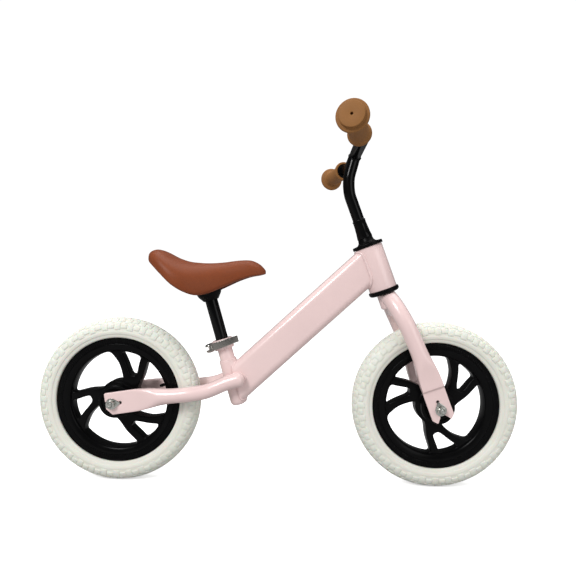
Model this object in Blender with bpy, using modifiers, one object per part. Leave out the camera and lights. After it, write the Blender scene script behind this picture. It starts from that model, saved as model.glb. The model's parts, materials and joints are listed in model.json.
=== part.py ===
"""A child's balance bike: welded frame, turning fork and handlebar, two spoked wheels and a sliding saddle.

Metres. +X is forward, +Y is the rider's left and +Z is up. The origin is on the ground midway between the axles.
"""

import math

import bmesh
import bpy
from mathutils import Matrix, Vector

# ---- driving dimensions -------------------------------------------------------------------------------------------

GAP = 0.0003                # left between two pieces that touch
STEPS = 20                  # sides of a round piece

WHEELBASE = 0.560
TYRE_RADIUS = 0.145
TYRE_HALF_WIDTH = 0.0212
RIM_RADIUS = 0.110
RIM_INNER_RADIUS = 0.0865
RIM_HALF_WIDTH = 0.0150
HUB_RADIUS = 0.0286
HUB_HALF_WIDTH = 0.0300
WHEEL_STEPS = 32
REAR_SPOKE_TURN = math.radians(60.7)
FRONT_SPOKE_TURN = math.radians(33.6)

AXLE_RADIUS = 0.0039
AXLE_HALF_LENGTH = 0.0535
DROPOUT_OUTER = 0.0425      # distance of the dropouts' outer faces from the middle plane
DROPOUT_THICKNESS = 0.0062
DROPOUT_HALF_HEIGHT = 0.0190
TAB_HOLE_OFFSET = 0.0150    # from the axle to the hole of the safety washer
BEARING_RADIUS = 0.0110
BEARING_WIDTH = 0.0070

HEAD_ANGLE = math.radians(20.5)
FORK_RAKE = 0.0155
AXLE_TO_HEAD = 0.2613       # along the steering axis, from the axle's foot to the middle of the head tube
HEAD_TUBE_RADIUS = 0.0245
HEAD_TUBE_BORE = 0.0215
HEAD_TUBE_HALF_LENGTH = 0.0395
CUP_RADIUS = 0.0270
STEERER_RADIUS = 0.0127
STEERER_BORE = 0.0113
FORK_TUBE_RADIUS = 0.0142

DOWN_TUBE_LOW = Vector((-0.0700, 0, 0.1760))
DOWN_TUBE_HIGH = Vector((0.1700, 0, 0.3981))
DOWN_TUBE_HALF_HEIGHT = 0.0303
DOWN_TUBE_HALF_WIDTH = 0.0190
DOWN_TUBE_CORNER = 0.0130
DOWN_TUBE_WALL = 0.0018

SEAT_ANGLE = math.radians(16.2)
SEAT_TUBE_TOP = Vector((-0.0933, 0, 0.2370))   # on the seat axis, at the foot of the clamp
SEAT_TUBE_RADIUS = 0.0155
SEAT_TUBE_LENGTH = 0.1035
SEAT_SLEEVE_RADIUS = 0.0131
SEAT_SLEEVE_SHOWN = 0.0205
SEATPOST_RADIUS = 0.0111
SEATPOST_BOTTOM = -0.0420   # along the seat axis, from the foot of the clamp
SEATPOST_TOP = 0.1120
CLAMP_RADIUS = 0.0176
CLAMP_HEIGHT = 0.0180
SKEWER_BACK = 0.0214        # from the seat axis back to the clamp's bolt

STAY_RADIUS = 0.0127
STAY_SLOPE = math.radians(9.1)
STAY_LENGTH = 0.2300

BAR_RADIUS = 0.0103
BAR_CENTRE = Vector((0.1345, 0, 0.5830))
BAR_BEND_Y = 0.0850
BAR_SWEEP = math.radians(14.7)
BAR_WALL = 0.0016
GRIP_START = 0.0295         # along the swept end of the bar, from its bend
GRIP_LENGTH = 0.0890
STEM_LEAN = math.radians(15.0)
QUILL_RADIUS = 0.0110
QUILL_TOP = 0.0880          # along the steering axis, from the middle of the head tube


# ---- frames of reference ------------------------------------------------------------------------------------------

def axis_frame(origin, lean):
    """A frame whose Z leans back from the vertical by an angle, and whose X is square to it and points forward."""
    return Matrix.Translation(origin) @ Matrix.Rotation(-lean, 4, "Y")


REAR_AXLE = Vector((-WHEELBASE / 2, 0, TYRE_RADIUS))
FRONT_AXLE = Vector((WHEELBASE / 2, 0, TYRE_RADIUS))
HEAD_DIRECTION = Vector((-math.sin(HEAD_ANGLE), 0, math.cos(HEAD_ANGLE)))
HEAD_FORWARD = Vector((math.cos(HEAD_ANGLE), 0, math.sin(HEAD_ANGLE)))
HEAD = axis_frame(FRONT_AXLE - HEAD_FORWARD * FORK_RAKE + HEAD_DIRECTION * AXLE_TO_HEAD, HEAD_ANGLE)
SEAT = axis_frame(SEAT_TUBE_TOP, SEAT_ANGLE)
DOWN = axis_frame((DOWN_TUBE_LOW + DOWN_TUBE_HIGH) / 2,
                  -math.atan2(DOWN_TUBE_HIGH.x - DOWN_TUBE_LOW.x, DOWN_TUBE_HIGH.z - DOWN_TUBE_LOW.z))
DOWN_HALF_LENGTH = (DOWN_TUBE_HIGH - DOWN_TUBE_LOW).length / 2


def wheel_frame(axle):
    """A frame on an axle whose Z points to the left and whose X points forward."""
    return Matrix.Translation(axle) @ Matrix.Rotation(math.radians(-90), 4, "X")


def grip_frame(side):
    """A frame at the bend of the bar whose Z runs out along the swept end."""
    outward = Vector((-math.sin(BAR_SWEEP), side * math.cos(BAR_SWEEP), 0))
    bend = BAR_CENTRE + Vector((0, side * BAR_BEND_Y, 0))
    return Matrix.Translation(bend) @ outward.to_track_quat("Z", "Y").to_matrix().to_4x4()


# ---- modelling helpers --------------------------------------------------------------------------------------------

def clear_scene():
    for obj in list(bpy.data.objects):
        bpy.data.objects.remove(obj, do_unlink=True)


def new_collection(name):
    found = bpy.data.collections.new(name)
    bpy.context.scene.collection.children.link(found)
    return found


def material(name, colour, roughness, metallic=0.0):
    made = bpy.data.materials.new(name)
    made.use_nodes = True
    shader = made.node_tree.nodes["Principled BSDF"]
    shader.inputs["Base Color"].default_value = (*colour, 1)
    shader.inputs["Roughness"].default_value = roughness
    shader.inputs["Metallic"].default_value = metallic
    return made


def mesh_object(name, bm):
    """A mesh object from a bmesh, which is freed."""
    mesh = bpy.data.meshes.new(name)
    bm.to_mesh(mesh)
    bm.free()
    mesh.shade_smooth()
    mesh.set_sharp_from_angle(angle=math.radians(40))
    return bpy.data.objects.new(name, mesh)


def add_part(obj, paint, matrix, parent=None):
    """Places an object among the parts, under the empty that carries its joint."""
    PARTS.objects.link(obj)
    obj.data.materials.append(paint)
    obj.parent = parent
    if parent:
        obj.matrix_parent_inverse = parent.matrix_world.inverted()
    obj.matrix_world = matrix
    return obj


def add_pivot(name, matrix, parent=None):
    """An empty on a joint's axis, which carries the pieces that move with it."""
    empty = bpy.data.objects.new(name, None)
    PARTS.objects.link(empty)
    empty.parent = parent
    if parent:
        empty.matrix_parent_inverse = parent.matrix_world.inverted()
    empty.matrix_world = matrix
    bpy.context.view_layer.update()
    return empty


def add_cutter(obj, matrix):
    CUTTERS.objects.link(obj)
    obj.matrix_world = matrix
    obj.hide_render = True
    obj.display_type = "WIRE"
    return obj


def combine(obj, other, operation="DIFFERENCE"):
    boolean = obj.modifiers.new(other.name, "BOOLEAN")
    boolean.operation = operation
    boolean.solver = "EXACT"
    boolean.object = other
    return obj


def turned(name, profile, closed=True, steps=STEPS):
    """A profile of (radius, height) points, outer side first and top to bottom, turned about Z."""
    bm = bmesh.new()
    verts = [bm.verts.new((radius, 0, height)) for radius, height in profile]
    for first, second in zip(verts, verts[1:]):
        bm.edges.new((first, second))
    if closed:
        bm.edges.new((verts[-1], verts[0]))
    obj = mesh_object(name, bm)
    screw = obj.modifiers.new("Turn", "SCREW")
    screw.steps = steps
    screw.render_steps = steps
    screw.use_merge_vertices = True
    screw.merge_threshold = 0.00001
    return obj


def ring(name, outer, inner, top, bottom, steps=STEPS):
    return turned(name, [(outer, top), (outer, bottom), (inner, bottom), (inner, top)], steps=steps)


def cylinder(name, radius, low, high, sides=STEPS):
    bm = bmesh.new()
    shift = Matrix.Translation((0, 0, (low + high) / 2))
    bmesh.ops.create_cone(bm, cap_ends=True, segments=sides, radius1=radius, radius2=radius, depth=high - low,
                          matrix=shift)
    return mesh_object(name, bm)


def box(name, low, high):
    """A box between two corners."""
    size = Vector(high) - Vector(low)
    middle = (Vector(high) + Vector(low)) / 2
    bm = bmesh.new()
    bmesh.ops.create_cube(bm, size=1, matrix=Matrix.Translation(middle) @ Matrix.Diagonal((*size, 1)))
    return mesh_object(name, bm)


def rounded(points, radius, count=3, closed=True):
    """The same points, each clear corner among them replaced by a short arc that touches both of its sides."""
    points = [Vector(point) for point in points]
    result = []
    for index, corner in enumerate(points):
        if not closed and index in (0, len(points) - 1):
            result.append(corner)
            continue
        before = points[index - 1] - corner
        after = points[(index + 1) % len(points)] - corner
        half = before.angle(after) / 2
        if half > math.radians(75) and count < 4:
            result.append(corner)
            continue
        reach = min(radius / math.tan(half), before.length * 0.45, after.length * 0.45)
        start = corner + before.normalized() * reach
        end = corner + after.normalized() * reach
        middle = corner + (before.normalized() + after.normalized()).normalized() * reach / math.cos(half)
        first, last = start - middle, end - middle
        for step in range(count + 1):
            spoke = first.normalized().slerp(last.normalized(), step / count)
            result.append(middle + spoke * first.length)
    return result


def outline_object(name, points, half_thickness):
    """A flat closed outline in XY given thickness along Z, as a mesh."""
    curve = bpy.data.curves.new(name, "CURVE")
    curve.dimensions = "2D"
    curve.fill_mode = "BOTH"
    curve.extrude = half_thickness
    spline = curve.splines.new("POLY")
    spline.points.add(len(points) - 1)
    for target, point in zip(spline.points, points):
        target.co = (point[0], point[1], 0, 1)
    spline.use_cyclic_u = True
    return curve_to_mesh(name, curve)


def curve_to_mesh(name, curve):
    carrier = bpy.data.objects.new(name, curve)
    CUTTERS.objects.link(carrier)
    bpy.context.view_layer.update()
    evaluated = carrier.evaluated_get(bpy.context.evaluated_depsgraph_get())
    mesh = bpy.data.meshes.new_from_object(evaluated)
    bpy.data.objects.remove(carrier)
    bm = bmesh.new()
    bm.from_mesh(mesh)
    bmesh.ops.remove_doubles(bm, verts=bm.verts, dist=0.00001)
    bmesh.ops.recalc_face_normals(bm, faces=bm.faces)
    return mesh_object(name, bm)


def bar(name, points, radius, caps=True):
    """A round bar along a route."""
    curve = bpy.data.curves.new(name, "CURVE")
    curve.dimensions = "3D"
    curve.bevel_depth = radius
    curve.bevel_resolution = 3
    curve.use_fill_caps = caps
    spline = curve.splines.new("POLY")
    spline.points.add(len(points) - 1)
    for target, point in zip(spline.points, points):
        target.co = (*point, 1)
    return curve_to_mesh(name, curve)


def pipe(name, points, radius, wall):
    """A hollow round tube along a route, open at both ends."""
    obj = bar(name, points, radius, caps=False)
    solidify = obj.modifiers.new("Wall", "SOLIDIFY")
    solidify.thickness = wall
    solidify.offset = -1
    return obj


def superellipse(half_width, half_height, power, sides):
    """Points round an oval that squares up as its power grows from 2."""
    points = []
    for index in range(sides):
        angle = 2 * math.pi * (index + 0.5) / sides
        across = math.copysign(abs(math.cos(angle)) ** (2 / power), math.cos(angle))
        up = math.copysign(abs(math.sin(angle)) ** (2 / power), math.sin(angle))
        points.append((half_width * across, half_height * up))
    return points


def loft(name, stations, sides=14):
    """A closed skin through unlike sections, each given as (centre, across, up, half width, half height, power)."""
    bm = bmesh.new()
    rings = []
    for centre, across, up, half_width, half_height, power in stations:
        section = superellipse(half_width, half_height, power, sides)
        rings.append([bm.verts.new(centre + across * x + up * y) for x, y in section])
    for first, second in zip(rings, rings[1:]):
        for index in range(sides):
            after = (index + 1) % sides
            bm.faces.new((first[index], first[after], second[after], second[index]))
    bm.faces.new(rings[0])
    bm.faces.new(rings[-1])
    bmesh.ops.recalc_face_normals(bm, faces=bm.faces)
    return mesh_object(name, bm)


def blend(start, end, share):
    """A value that eases from start to end as the share goes from 0 to 1."""
    share = min(max(share, 0.0), 1.0)
    return start + (end - start) * share * share * (3 - 2 * share)


# ---- frame --------------------------------------------------------------------------------------------------------

def seat_tube_cutter(name):
    return add_cutter(cylinder(name, SEAT_TUBE_RADIUS + GAP, -0.2, 0.2, 32), SEAT)


def behind_plane_cutter(name, frame, side):
    """All that lies behind (side -1) or ahead (side 1) of an axis."""
    low = (min(0, side * 0.2), -0.1, -0.2)
    high = (max(0, side * 0.2), 0.1, 0.2)
    return add_cutter(box(name, low, high), frame)


def down_tube_outline(inset):
    half_height = DOWN_TUBE_HALF_HEIGHT - inset
    half_width = DOWN_TUBE_HALF_WIDTH - inset
    corners = [(half_height, half_width, 0), (-half_height, half_width, 0),
               (-half_height, -half_width, 0), (half_height, -half_width, 0)]
    return rounded(corners, DOWN_TUBE_CORNER - inset, count=4)


def build_head_tube():
    tube = ring("head_tube", HEAD_TUBE_RADIUS, HEAD_TUBE_BORE, HEAD_TUBE_HALF_LENGTH, -HEAD_TUBE_HALF_LENGTH, 24)
    add_part(tube, PINK, HEAD)


def build_down_tube():
    """The oval main tube, fitted round the head tube at its top and round the seat tube at its foot."""
    reach = DOWN_HALF_LENGTH + 0.03
    tube = add_part(outline_object("down_tube", down_tube_outline(0), reach), PINK, DOWN)
    hollow = outline_object("down_tube_hollow", down_tube_outline(DOWN_TUBE_WALL), reach + 0.01)
    combine(tube, add_cutter(hollow, DOWN))
    combine(tube, behind_plane_cutter("down_tube_foot", SEAT, -1))
    combine(tube, seat_tube_cutter("down_tube_seat"))
    combine(tube, behind_plane_cutter("down_tube_end", HEAD, 1))
    head = cylinder("down_tube_head", HEAD_TUBE_RADIUS + GAP, -0.1, 0.1, 32)
    combine(tube, add_cutter(head, HEAD))


def build_seat_tube():
    """A wide lower tube with a round closed foot, and the slit sleeve that grips the seatpost."""
    radius = SEAT_TUBE_RADIUS
    bore = SEAT_SLEEVE_RADIUS + GAP
    shoulder = -SEAT_SLEEVE_SHOWN
    foot = -SEAT_TUBE_LENGTH
    profile = [(0, foot + 0.0020), (bore, foot + 0.0060), (bore, shoulder), (bore + 0.0010, shoulder),
               (radius, shoulder - 0.0030), (radius, foot + 0.0060), (radius * 0.80, foot + 0.0015),
               (radius * 0.35, foot), (0, foot)]
    add_part(turned("seat_tube", profile, closed=False), PINK, SEAT)

    sleeve = ring("seat_sleeve", SEAT_SLEEVE_RADIUS, SEATPOST_RADIUS + GAP, CLAMP_HEIGHT - 0.0020,
                  shoulder - 0.0300)
    slit = box("seat_sleeve_slit", (-0.03, -0.00125, -0.012), (0, 0.00125, 0.03))
    combine(add_part(sleeve, PINK, SEAT), add_cutter(slit, SEAT))


def stay_station(along, side):
    """Where the chainstay's centre is, and its section, at a distance forward of the rear axle."""
    forward = Vector((math.cos(STAY_SLOPE), 0, math.sin(STAY_SLOPE)))
    up = Vector((-math.sin(STAY_SLOPE), 0, math.cos(STAY_SLOPE)))
    plate = DROPOUT_OUTER - DROPOUT_THICKNESS / 2
    round_share = (along - 0.030) / 0.055
    sideways = blend(plate, 0.0375, round_share)
    sideways = blend(sideways, 0.0275, (along - 0.120) / 0.085)
    half_width = blend(DROPOUT_THICKNESS / 2, STAY_RADIUS, round_share)
    half_height = blend(DROPOUT_HALF_HEIGHT, STAY_RADIUS, (along - 0.035) / 0.075)
    power = blend(9, 2, round_share)
    centre = REAR_AXLE + forward * along + Vector((0, side * sideways, 0))
    return [centre, Vector((0, 1, 0)), up, half_width, half_height, power]


def shrink(station, wall):
    centre, across, up, half_width, half_height, power = station
    return [centre, across, up, half_width - wall, half_height - wall, power]


def build_chainstay(side, word):
    """A round tube flattened into a slotted dropout, bent in at the front to lie on the seat and down tubes."""
    name = "chainstay_" + word
    distances = [-0.0105, 0.030, 0.045, 0.060, 0.075, 0.090, 0.115, 0.145, 0.175, 0.200, 0.222]
    stations = [stay_station(distance, side) for distance in distances]
    stations.append(shrink(stay_station(STAY_LENGTH, side), STAY_RADIUS * 0.45))
    stay = add_part(loft(name, stations), PINK, Matrix())
    hollow = [shrink(stay_station(distance, side), 0.0020) for distance in distances[5:]]
    combine(stay, add_cutter(loft(name + "_hollow", hollow), Matrix()))
    combine(stay, seat_tube_cutter(name + "_seat"))
    corner = Vector((DOWN_TUBE_HALF_HEIGHT + GAP, DOWN_TUBE_HALF_WIDTH + GAP, 0.2))
    beside_down_tube = add_cutter(box(name + "_flat", -corner, corner), DOWN)
    combine(beside_down_tube, behind_plane_cutter(name + "_flat_end", SEAT, -1))
    combine(stay, beside_down_tube)
    cut_dropout(stay, Matrix.Translation(REAR_AXLE) @ Matrix.Rotation(math.pi - STAY_SLOPE, 4, "Y"), side)


def cut_dropout(obj, frame, side):
    """The axle's slot, open along the frame's X, and the hole for the safety washer's tab behind it."""
    slot = AXLE_RADIUS + GAP + 0.0002
    low, high = sorted((side * 0.01, side * 0.06))
    outline = [(0.05, slot), (0.05, -slot)]
    for index in range(9):
        angle = math.pi * (1.5 - index / 8)
        outline.append((slot * math.cos(angle), slot * math.sin(angle)))
    across = Matrix.Rotation(math.radians(90), 4, "X")
    mouth = outline_object(obj.name + "_slot", outline, 0.06)
    combine(obj, add_cutter(mouth, frame @ across))
    hole = cylinder(obj.name + "_tab_hole", 0.0026, -high, -low, 12)
    combine(obj, add_cutter(hole, frame @ Matrix.Translation((-TAB_HOLE_OFFSET, 0, 0)) @ across))


# ---- axles and wheels ---------------------------------------------------------------------------------------------

def build_axle(word, axle, tab_turn, parent):
    """An axle with its spacers, safety washers and nuts on both sides."""
    rod = cylinder(word + "_axle", AXLE_RADIUS, -AXLE_HALF_LENGTH, AXLE_HALF_LENGTH, 16)
    add_part(rod, STEEL, wheel_frame(axle), parent)
    for side, hand in ((-1, "right"), (1, "left")):
        frame = wheel_frame(axle) if side > 0 else wheel_frame(axle) @ Matrix.Rotation(math.pi, 4, "X")
        inner_face = DROPOUT_OUTER - DROPOUT_THICKNESS - GAP
        spacer = ring(word + "_spacer_" + hand, 0.0075, AXLE_RADIUS + GAP, inner_face, HUB_HALF_WIDTH + 0.0010, 20)
        add_part(spacer, STEEL, frame, parent)
        washer = outline_object(word + "_washer_" + hand, washer_outline(-side * tab_turn), 0.00065)
        raised = frame @ Matrix.Translation((0, 0, DROPOUT_OUTER + GAP + 0.00065))
        add_part(washer, STEEL, raised, parent)
        combine(washer, add_cutter(cylinder(washer.name + "_bore", AXLE_RADIUS + GAP, -0.01, 0.01, 16), raised))
        low = DROPOUT_OUTER + 0.0013 + 2 * GAP
        nut = cylinder(word + "_nut_" + hand, 0.0075, low, low + 0.0065, 6)
        add_part(nut, STEEL, frame, parent)
        combine(nut, add_cutter(cylinder(nut.name + "_bore", AXLE_RADIUS + GAP, 0, 0.1, 16), frame))


def washer_outline(turn):
    """A round washer drawn out to a narrow tab in one direction."""
    body, tab = 0.0085, 0.0022
    spread = math.acos((body - tab) / TAB_HOLE_OFFSET)
    points = []
    for index in range(15):
        angle = turn + spread + (2 * math.pi - 2 * spread) * index / 14
        points.append((body * math.cos(angle), body * math.sin(angle)))
    for index in range(5):
        angle = turn - spread + 2 * spread * index / 4
        points.append((TAB_HOLE_OFFSET * math.cos(turn) + tab * math.cos(angle),
                       TAB_HOLE_OFFSET * math.sin(turn) + tab * math.sin(angle)))
    return points


def polar(radius, degrees):
    angle = math.radians(degrees)
    return Vector((radius * math.cos(angle), -radius * math.sin(angle), 0))


def spoke_openings():
    """The two kinds of opening beside one forked spoke: the wide one behind it, and the slot inside its fork."""
    wide = [polar(0.0325, 17), polar(0.042, 20), polar(0.064, 30), polar(0.083, 39)]
    wide += [polar(RIM_INNER_RADIUS - 0.0005, 43 + 16.5 * step) for step in range(5)]
    wide += [polar(0.077, 111), polar(0.058, 103), polar(0.040, 93)]
    wide += [polar(0.0325, 80), polar(0.0325, 60), polar(0.0325, 38)]
    slot = [polar(0.0525, -6.5), polar(0.072, 0.5), polar(0.0835, 3), polar(0.0845, 15), polar(0.0830, 27),
            polar(0.065, 18.7), polar(0.049, 8), polar(0.0465, 0)]
    return rounded(wide, 0.004, count=2), rounded(slot, 0.003, count=2)


def wheel_profile():
    """Half of the rim, web and hub's section, from the tyre's seat inwards along one face."""
    pocket = HUB_HALF_WIDTH - BEARING_WIDTH - GAP
    return [(0.1055, 0.0109), (RIM_RADIUS, 0.0114), (RIM_RADIUS, RIM_HALF_WIDTH),
            (RIM_INNER_RADIUS + 0.001, RIM_HALF_WIDTH), (RIM_INNER_RADIUS - 0.002, 0.0090), (0.034, 0.0120),
            (HUB_RADIUS, 0.0150), (HUB_RADIUS, HUB_HALF_WIDTH), (BEARING_RADIUS + GAP, HUB_HALF_WIDTH),
            (BEARING_RADIUS + GAP, pocket), (0.0075, pocket)]


def tyre_profile():
    """Half of the tyre's section, from its foot in the rim outwards to the crown."""
    return [(0.1058, 0.0105), (RIM_RADIUS + GAP, 0.0105), (RIM_RADIUS + GAP, 0.0165), (0.1260, TYRE_HALF_WIDTH),
            (0.1385, 0.0165), (0.1440, 0.0070)]


def build_wheel(word, axle, spoke_turn, plug_angle, parent):
    frame = wheel_frame(axle)
    half = wheel_profile()
    profile = [(radius, -height) for radius, height in half] + half[::-1]
    rim = turned(word + "_rim", profile, steps=WHEEL_STEPS)
    turn = Matrix.Rotation(-spoke_turn, 4, "Z")
    add_part(rim, BLACK_PLASTIC, frame, parent)
    wide, slot = spoke_openings()
    for index in range(3):
        third = turn @ Matrix.Rotation(-index * 2 * math.pi / 3, 4, "Z")
        for kind, outline in (("wide", wide), ("slot", slot)):
            cutter = outline_object(f"{rim.name}_{kind}_{index}", outline, 0.05)
            combine(rim, add_cutter(cutter, frame @ third))

    half = tyre_profile()
    profile = [(TYRE_RADIUS, 0)] + [(radius, -height) for radius, height in half[::-1]] + half
    add_part(turned(word + "_tyre", profile, steps=WHEEL_STEPS), FOAM, frame, parent)

    for side, hand in ((-1, "right"), (1, "left")):
        outer_face = side * (HUB_HALF_WIDTH - GAP)
        inner_face = side * (HUB_HALF_WIDTH - BEARING_WIDTH)
        bearing = ring(f"{word}_bearing_{hand}", BEARING_RADIUS, AXLE_RADIUS + GAP, max(outer_face, inner_face),
                       min(outer_face, inner_face), 20)
        add_part(bearing, STEEL, frame, parent)

    plug = cylinder(word + "_lock_plug", 0.0028, -RIM_INNER_RADIUS + 0.0023, -RIM_INNER_RADIUS + 0.0125, 12)
    inward = Matrix.Rotation(-plug_angle, 4, "Z") @ Matrix.Rotation(math.radians(-90), 4, "Y")
    add_part(plug, BLACK_PLASTIC, frame @ inward, parent)


# ---- headset, fork and handlebar ----------------------------------------------------------------------------------

def build_headset(steering):
    top = HEAD_TUBE_HALF_LENGTH
    sleeve = HEAD_TUBE_BORE - GAP
    upper = [(sleeve, top - 0.0005), (sleeve, top - 0.0150), (0.0175, top - 0.0150), (0.0175, top - 0.0120),
             (0.0203, top - 0.0120), (0.0203, top - 0.0005)]
    add_part(turned("headset_cup_upper", upper), BLACK_PLASTIC, HEAD)
    add_part(ring("headset_bearing_upper", 0.0200, STEERER_RADIUS + GAP, top - 0.0010, top - 0.0117), STEEL, HEAD)

    lower = [(sleeve, -top + 0.0150), (sleeve, -top - GAP), (CUP_RADIUS, -top - GAP), (CUP_RADIUS, -top - 0.0050),
             (CUP_RADIUS - 0.0030, -top - 0.0080), (0.0185, -top - 0.0080), (0.0185, -top - 0.0040),
             (0.0203, -top - 0.0040), (0.0203, -top + 0.0150)]
    add_part(turned("headset_cup_lower", lower), BLACK_PLASTIC, HEAD)
    add_part(ring("headset_bearing_lower", 0.0200, STEERER_RADIUS + GAP, -top + 0.0070, -top - 0.0037), STEEL, HEAD)
    race = ring("crown_race", 0.0182, STEERER_RADIUS + GAP, -top - 0.0045, -top - 0.0085)
    add_part(race, STEEL, HEAD, steering)

    flange = [(0.0135, top + 0.0150), (0.0150, top + 0.0095), (0.0190, top + 0.0065), (CUP_RADIUS - 0.0015, top + 0.0060),
              (CUP_RADIUS, top + 0.0045), (CUP_RADIUS, top + 0.0008), (0.0205, top + GAP), (STEERER_RADIUS + GAP, top + GAP),
              (STEERER_RADIUS + GAP, top + 0.0080), (QUILL_RADIUS + GAP, top + 0.0080), (QUILL_RADIUS + GAP, top + 0.0150)]
    add_part(turned("headset_cap", flange), BLACK_PLASTIC, HEAD, steering)


CROWN_TOP = -HEAD_TUBE_HALF_LENGTH - 0.0090
CROWN_BOTTOM = -0.0740
CROWN_RADIUS = 0.0145


def build_steerer(steering):
    tube = ring("steerer_tube", STEERER_RADIUS, STEERER_BORE, HEAD_TUBE_HALF_LENGTH + 0.0070, CROWN_BOTTOM + 0.0030, 24)
    add_part(tube, STEEL, HEAD, steering)
    inner = STEERER_RADIUS + GAP
    crown = [(CROWN_RADIUS - 0.001, CROWN_TOP), (CROWN_RADIUS, CROWN_TOP - 0.002), (CROWN_RADIUS, CROWN_BOTTOM + 0.002),
             (CROWN_RADIUS - 0.002, CROWN_BOTTOM), (0.0042, CROWN_BOTTOM), (0.0042, CROWN_BOTTOM + 0.0027),
             (inner, CROWN_BOTTOM + 0.0027), (inner, CROWN_TOP)]
    add_part(turned("fork_crown", crown), PINK, HEAD, steering)


def fork_route():
    """The right leg's centre in the steering frame, mirrored for the left: (forward, out, up)."""
    plate = DROPOUT_OUTER - DROPOUT_THICKNESS / 2
    axle_up = -AXLE_TO_HEAD
    return [Vector((2.0e-3, 6.0e-3, -52e-3)), Vector((4.5e-3, 15e-3, -62e-3)), Vector((6.8e-3, 24e-3, -75e-3)),
            Vector((8.8e-3, 31e-3, -90e-3)), Vector((11e-3, 36e-3, -108e-3)), Vector((13e-3, 38e-3, -135e-3)),
            Vector((14.6e-3, 38.8e-3, -165e-3)), Vector((15.4e-3, plate - 0.0010, -190e-3)),
            Vector((FORK_RAKE, plate - 0.0005, -205e-3)), Vector((FORK_RAKE, plate, -218e-3)),
            Vector((FORK_RAKE, plate, -232e-3)), Vector((FORK_RAKE + 0.0005, plate, axle_up - 0.0193))]


def build_fork_leg(side, word, steering):
    """A bent tube that leaves the crown, straddles the wheel and is pressed flat at the axle."""
    name = "fork_leg_" + word
    route = [Vector((point.x, side * point.y, point.z)) for point in fork_route()]
    stations = []
    for index, centre in enumerate(route):
        before = route[max(index - 1, 0)]
        after = route[min(index + 1, len(route) - 1)]
        heading = (after - before).normalized()
        forward = Vector((1, 0, 0))
        across = heading.cross(forward).normalized()
        flat = (-centre.z - 0.165) / 0.060
        half_width = blend(FORK_TUBE_RADIUS, DROPOUT_THICKNESS / 2, flat)
        half_height = blend(FORK_TUBE_RADIUS, DROPOUT_HALF_HEIGHT, (-centre.z - 0.150) / 0.070)
        stations.append([centre, across, forward, half_width, half_height, blend(2, 9, flat)])
    leg = add_part(loft(name, stations), PINK, HEAD, steering)
    hollow = [shrink(station, 0.0018) for station in stations[:8]]
    hollow[0][0] = hollow[0][0] + (route[0] - route[1]) * 0.4
    combine(leg, add_cutter(loft(name + "_hollow", hollow), HEAD))
    crown = cylinder(name + "_crown", CROWN_RADIUS + GAP, CROWN_BOTTOM - GAP, 0.0, 24)
    combine(leg, add_cutter(crown, HEAD))
    low, high = sorted((-side * 0.1, side * GAP / 2))
    combine(leg, add_cutter(box(name + "_middle", (-0.1, low, -0.3), (0.1, high, 0.1)), HEAD))
    above = box(name + "_above", (-0.1, -0.1, CROWN_TOP - 0.001), (0.1, 0.1, 0.1))
    combine(leg, add_cutter(above, HEAD))
    axle = HEAD @ Matrix.Translation((FORK_RAKE, 0, -AXLE_TO_HEAD))
    cut_dropout(leg, axle @ Matrix.Rotation(math.radians(90), 4, "Y"), side)


def stem_route():
    """Up the steering axis, then bent forward to meet the bar from below, in world coordinates."""
    start = HEAD @ Vector((0, 0, QUILL_TOP + GAP))
    lean = Vector((math.sin(STEM_LEAN), 0, math.cos(STEM_LEAN)))
    gap = BAR_CENTRE - start
    reach = gap.cross(lean).y / HEAD_DIRECTION.cross(lean).y
    return rounded([start, start + HEAD_DIRECTION * reach, BAR_CENTRE], 0.087, count=6, closed=False)


def build_handlebar(steering):
    """The quill in the fork, the bent stem on it, and the bar welded across its top."""
    quill_bottom = -0.0350
    quill = ring("quill_tube", QUILL_RADIUS, 0.0085, QUILL_TOP, quill_bottom, 24)
    add_part(quill, BLACK_PAINT, HEAD, steering)

    stem = add_part(pipe("handlebar_stem", stem_route(), BAR_RADIUS, BAR_WALL), BLACK_PAINT, Matrix(), steering)
    across = Matrix.Translation(BAR_CENTRE) @ Matrix.Rotation(math.radians(90), 4, "X")
    combine(stem, add_cutter(cylinder("handlebar_stem_bar", BAR_RADIUS + GAP, -0.05, 0.05, 32), across))

    swept = GRIP_START + GRIP_LENGTH - 0.0120
    ends = [grip_frame(side) @ Vector((0, 0, swept)) for side in (-1, 1)]
    bends = [BAR_CENTRE + Vector((0, side * BAR_BEND_Y, 0)) for side in (-1, 1)]
    route = rounded([ends[0], bends[0], bends[1], ends[1]], 0.070, count=4, closed=False)
    add_part(pipe("crossbar", route, BAR_RADIUS, BAR_WALL), BLACK_PAINT, Matrix(), steering)

    for side, hand in ((-1, "right"), (1, "left")):
        add_part(turned("grip_" + hand, grip_profile(), steps=20), GRIP_RUBBER, grip_frame(side), steering)

    wedge_top = quill_bottom - GAP
    wedge = ring("expander_wedge", 0.0108, 0.0043, wedge_top, wedge_top - 0.0150, 24)
    add_part(wedge, STEEL, HEAD, steering)
    bolt = cylinder("expander_bolt", 0.0039, CROWN_BOTTOM - 0.0030, quill_bottom + 0.0200, 16)
    head = cylinder("expander_head", 0.0065, CROWN_BOTTOM - 0.0060, CROWN_BOTTOM - GAP, 6)
    combine(add_part(bolt, STEEL, HEAD, steering), add_cutter(head, HEAD), "UNION")


def grip_profile():
    """A soft sleeve with a flange at each end, closed at the outer end but for a small breather."""
    start = GRIP_START
    end = GRIP_START + GRIP_LENGTH
    bore = BAR_RADIUS + GAP
    outer = [(0.0015, end), (0.0135, end), (0.0140, end - 0.0012), (0.0215, end - 0.0012), (0.0234, end - 0.0035),
             (0.0234, end - 0.0075), (0.0165, end - 0.0125), (0.0150, end - 0.0180), (0.0155, start + 0.0100),
             (0.0190, start + 0.0035), (0.0175, start)]
    inner = [(bore, start), (bore, end - 0.0110), (0.0015, end - 0.0110)]
    return outer + inner


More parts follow.
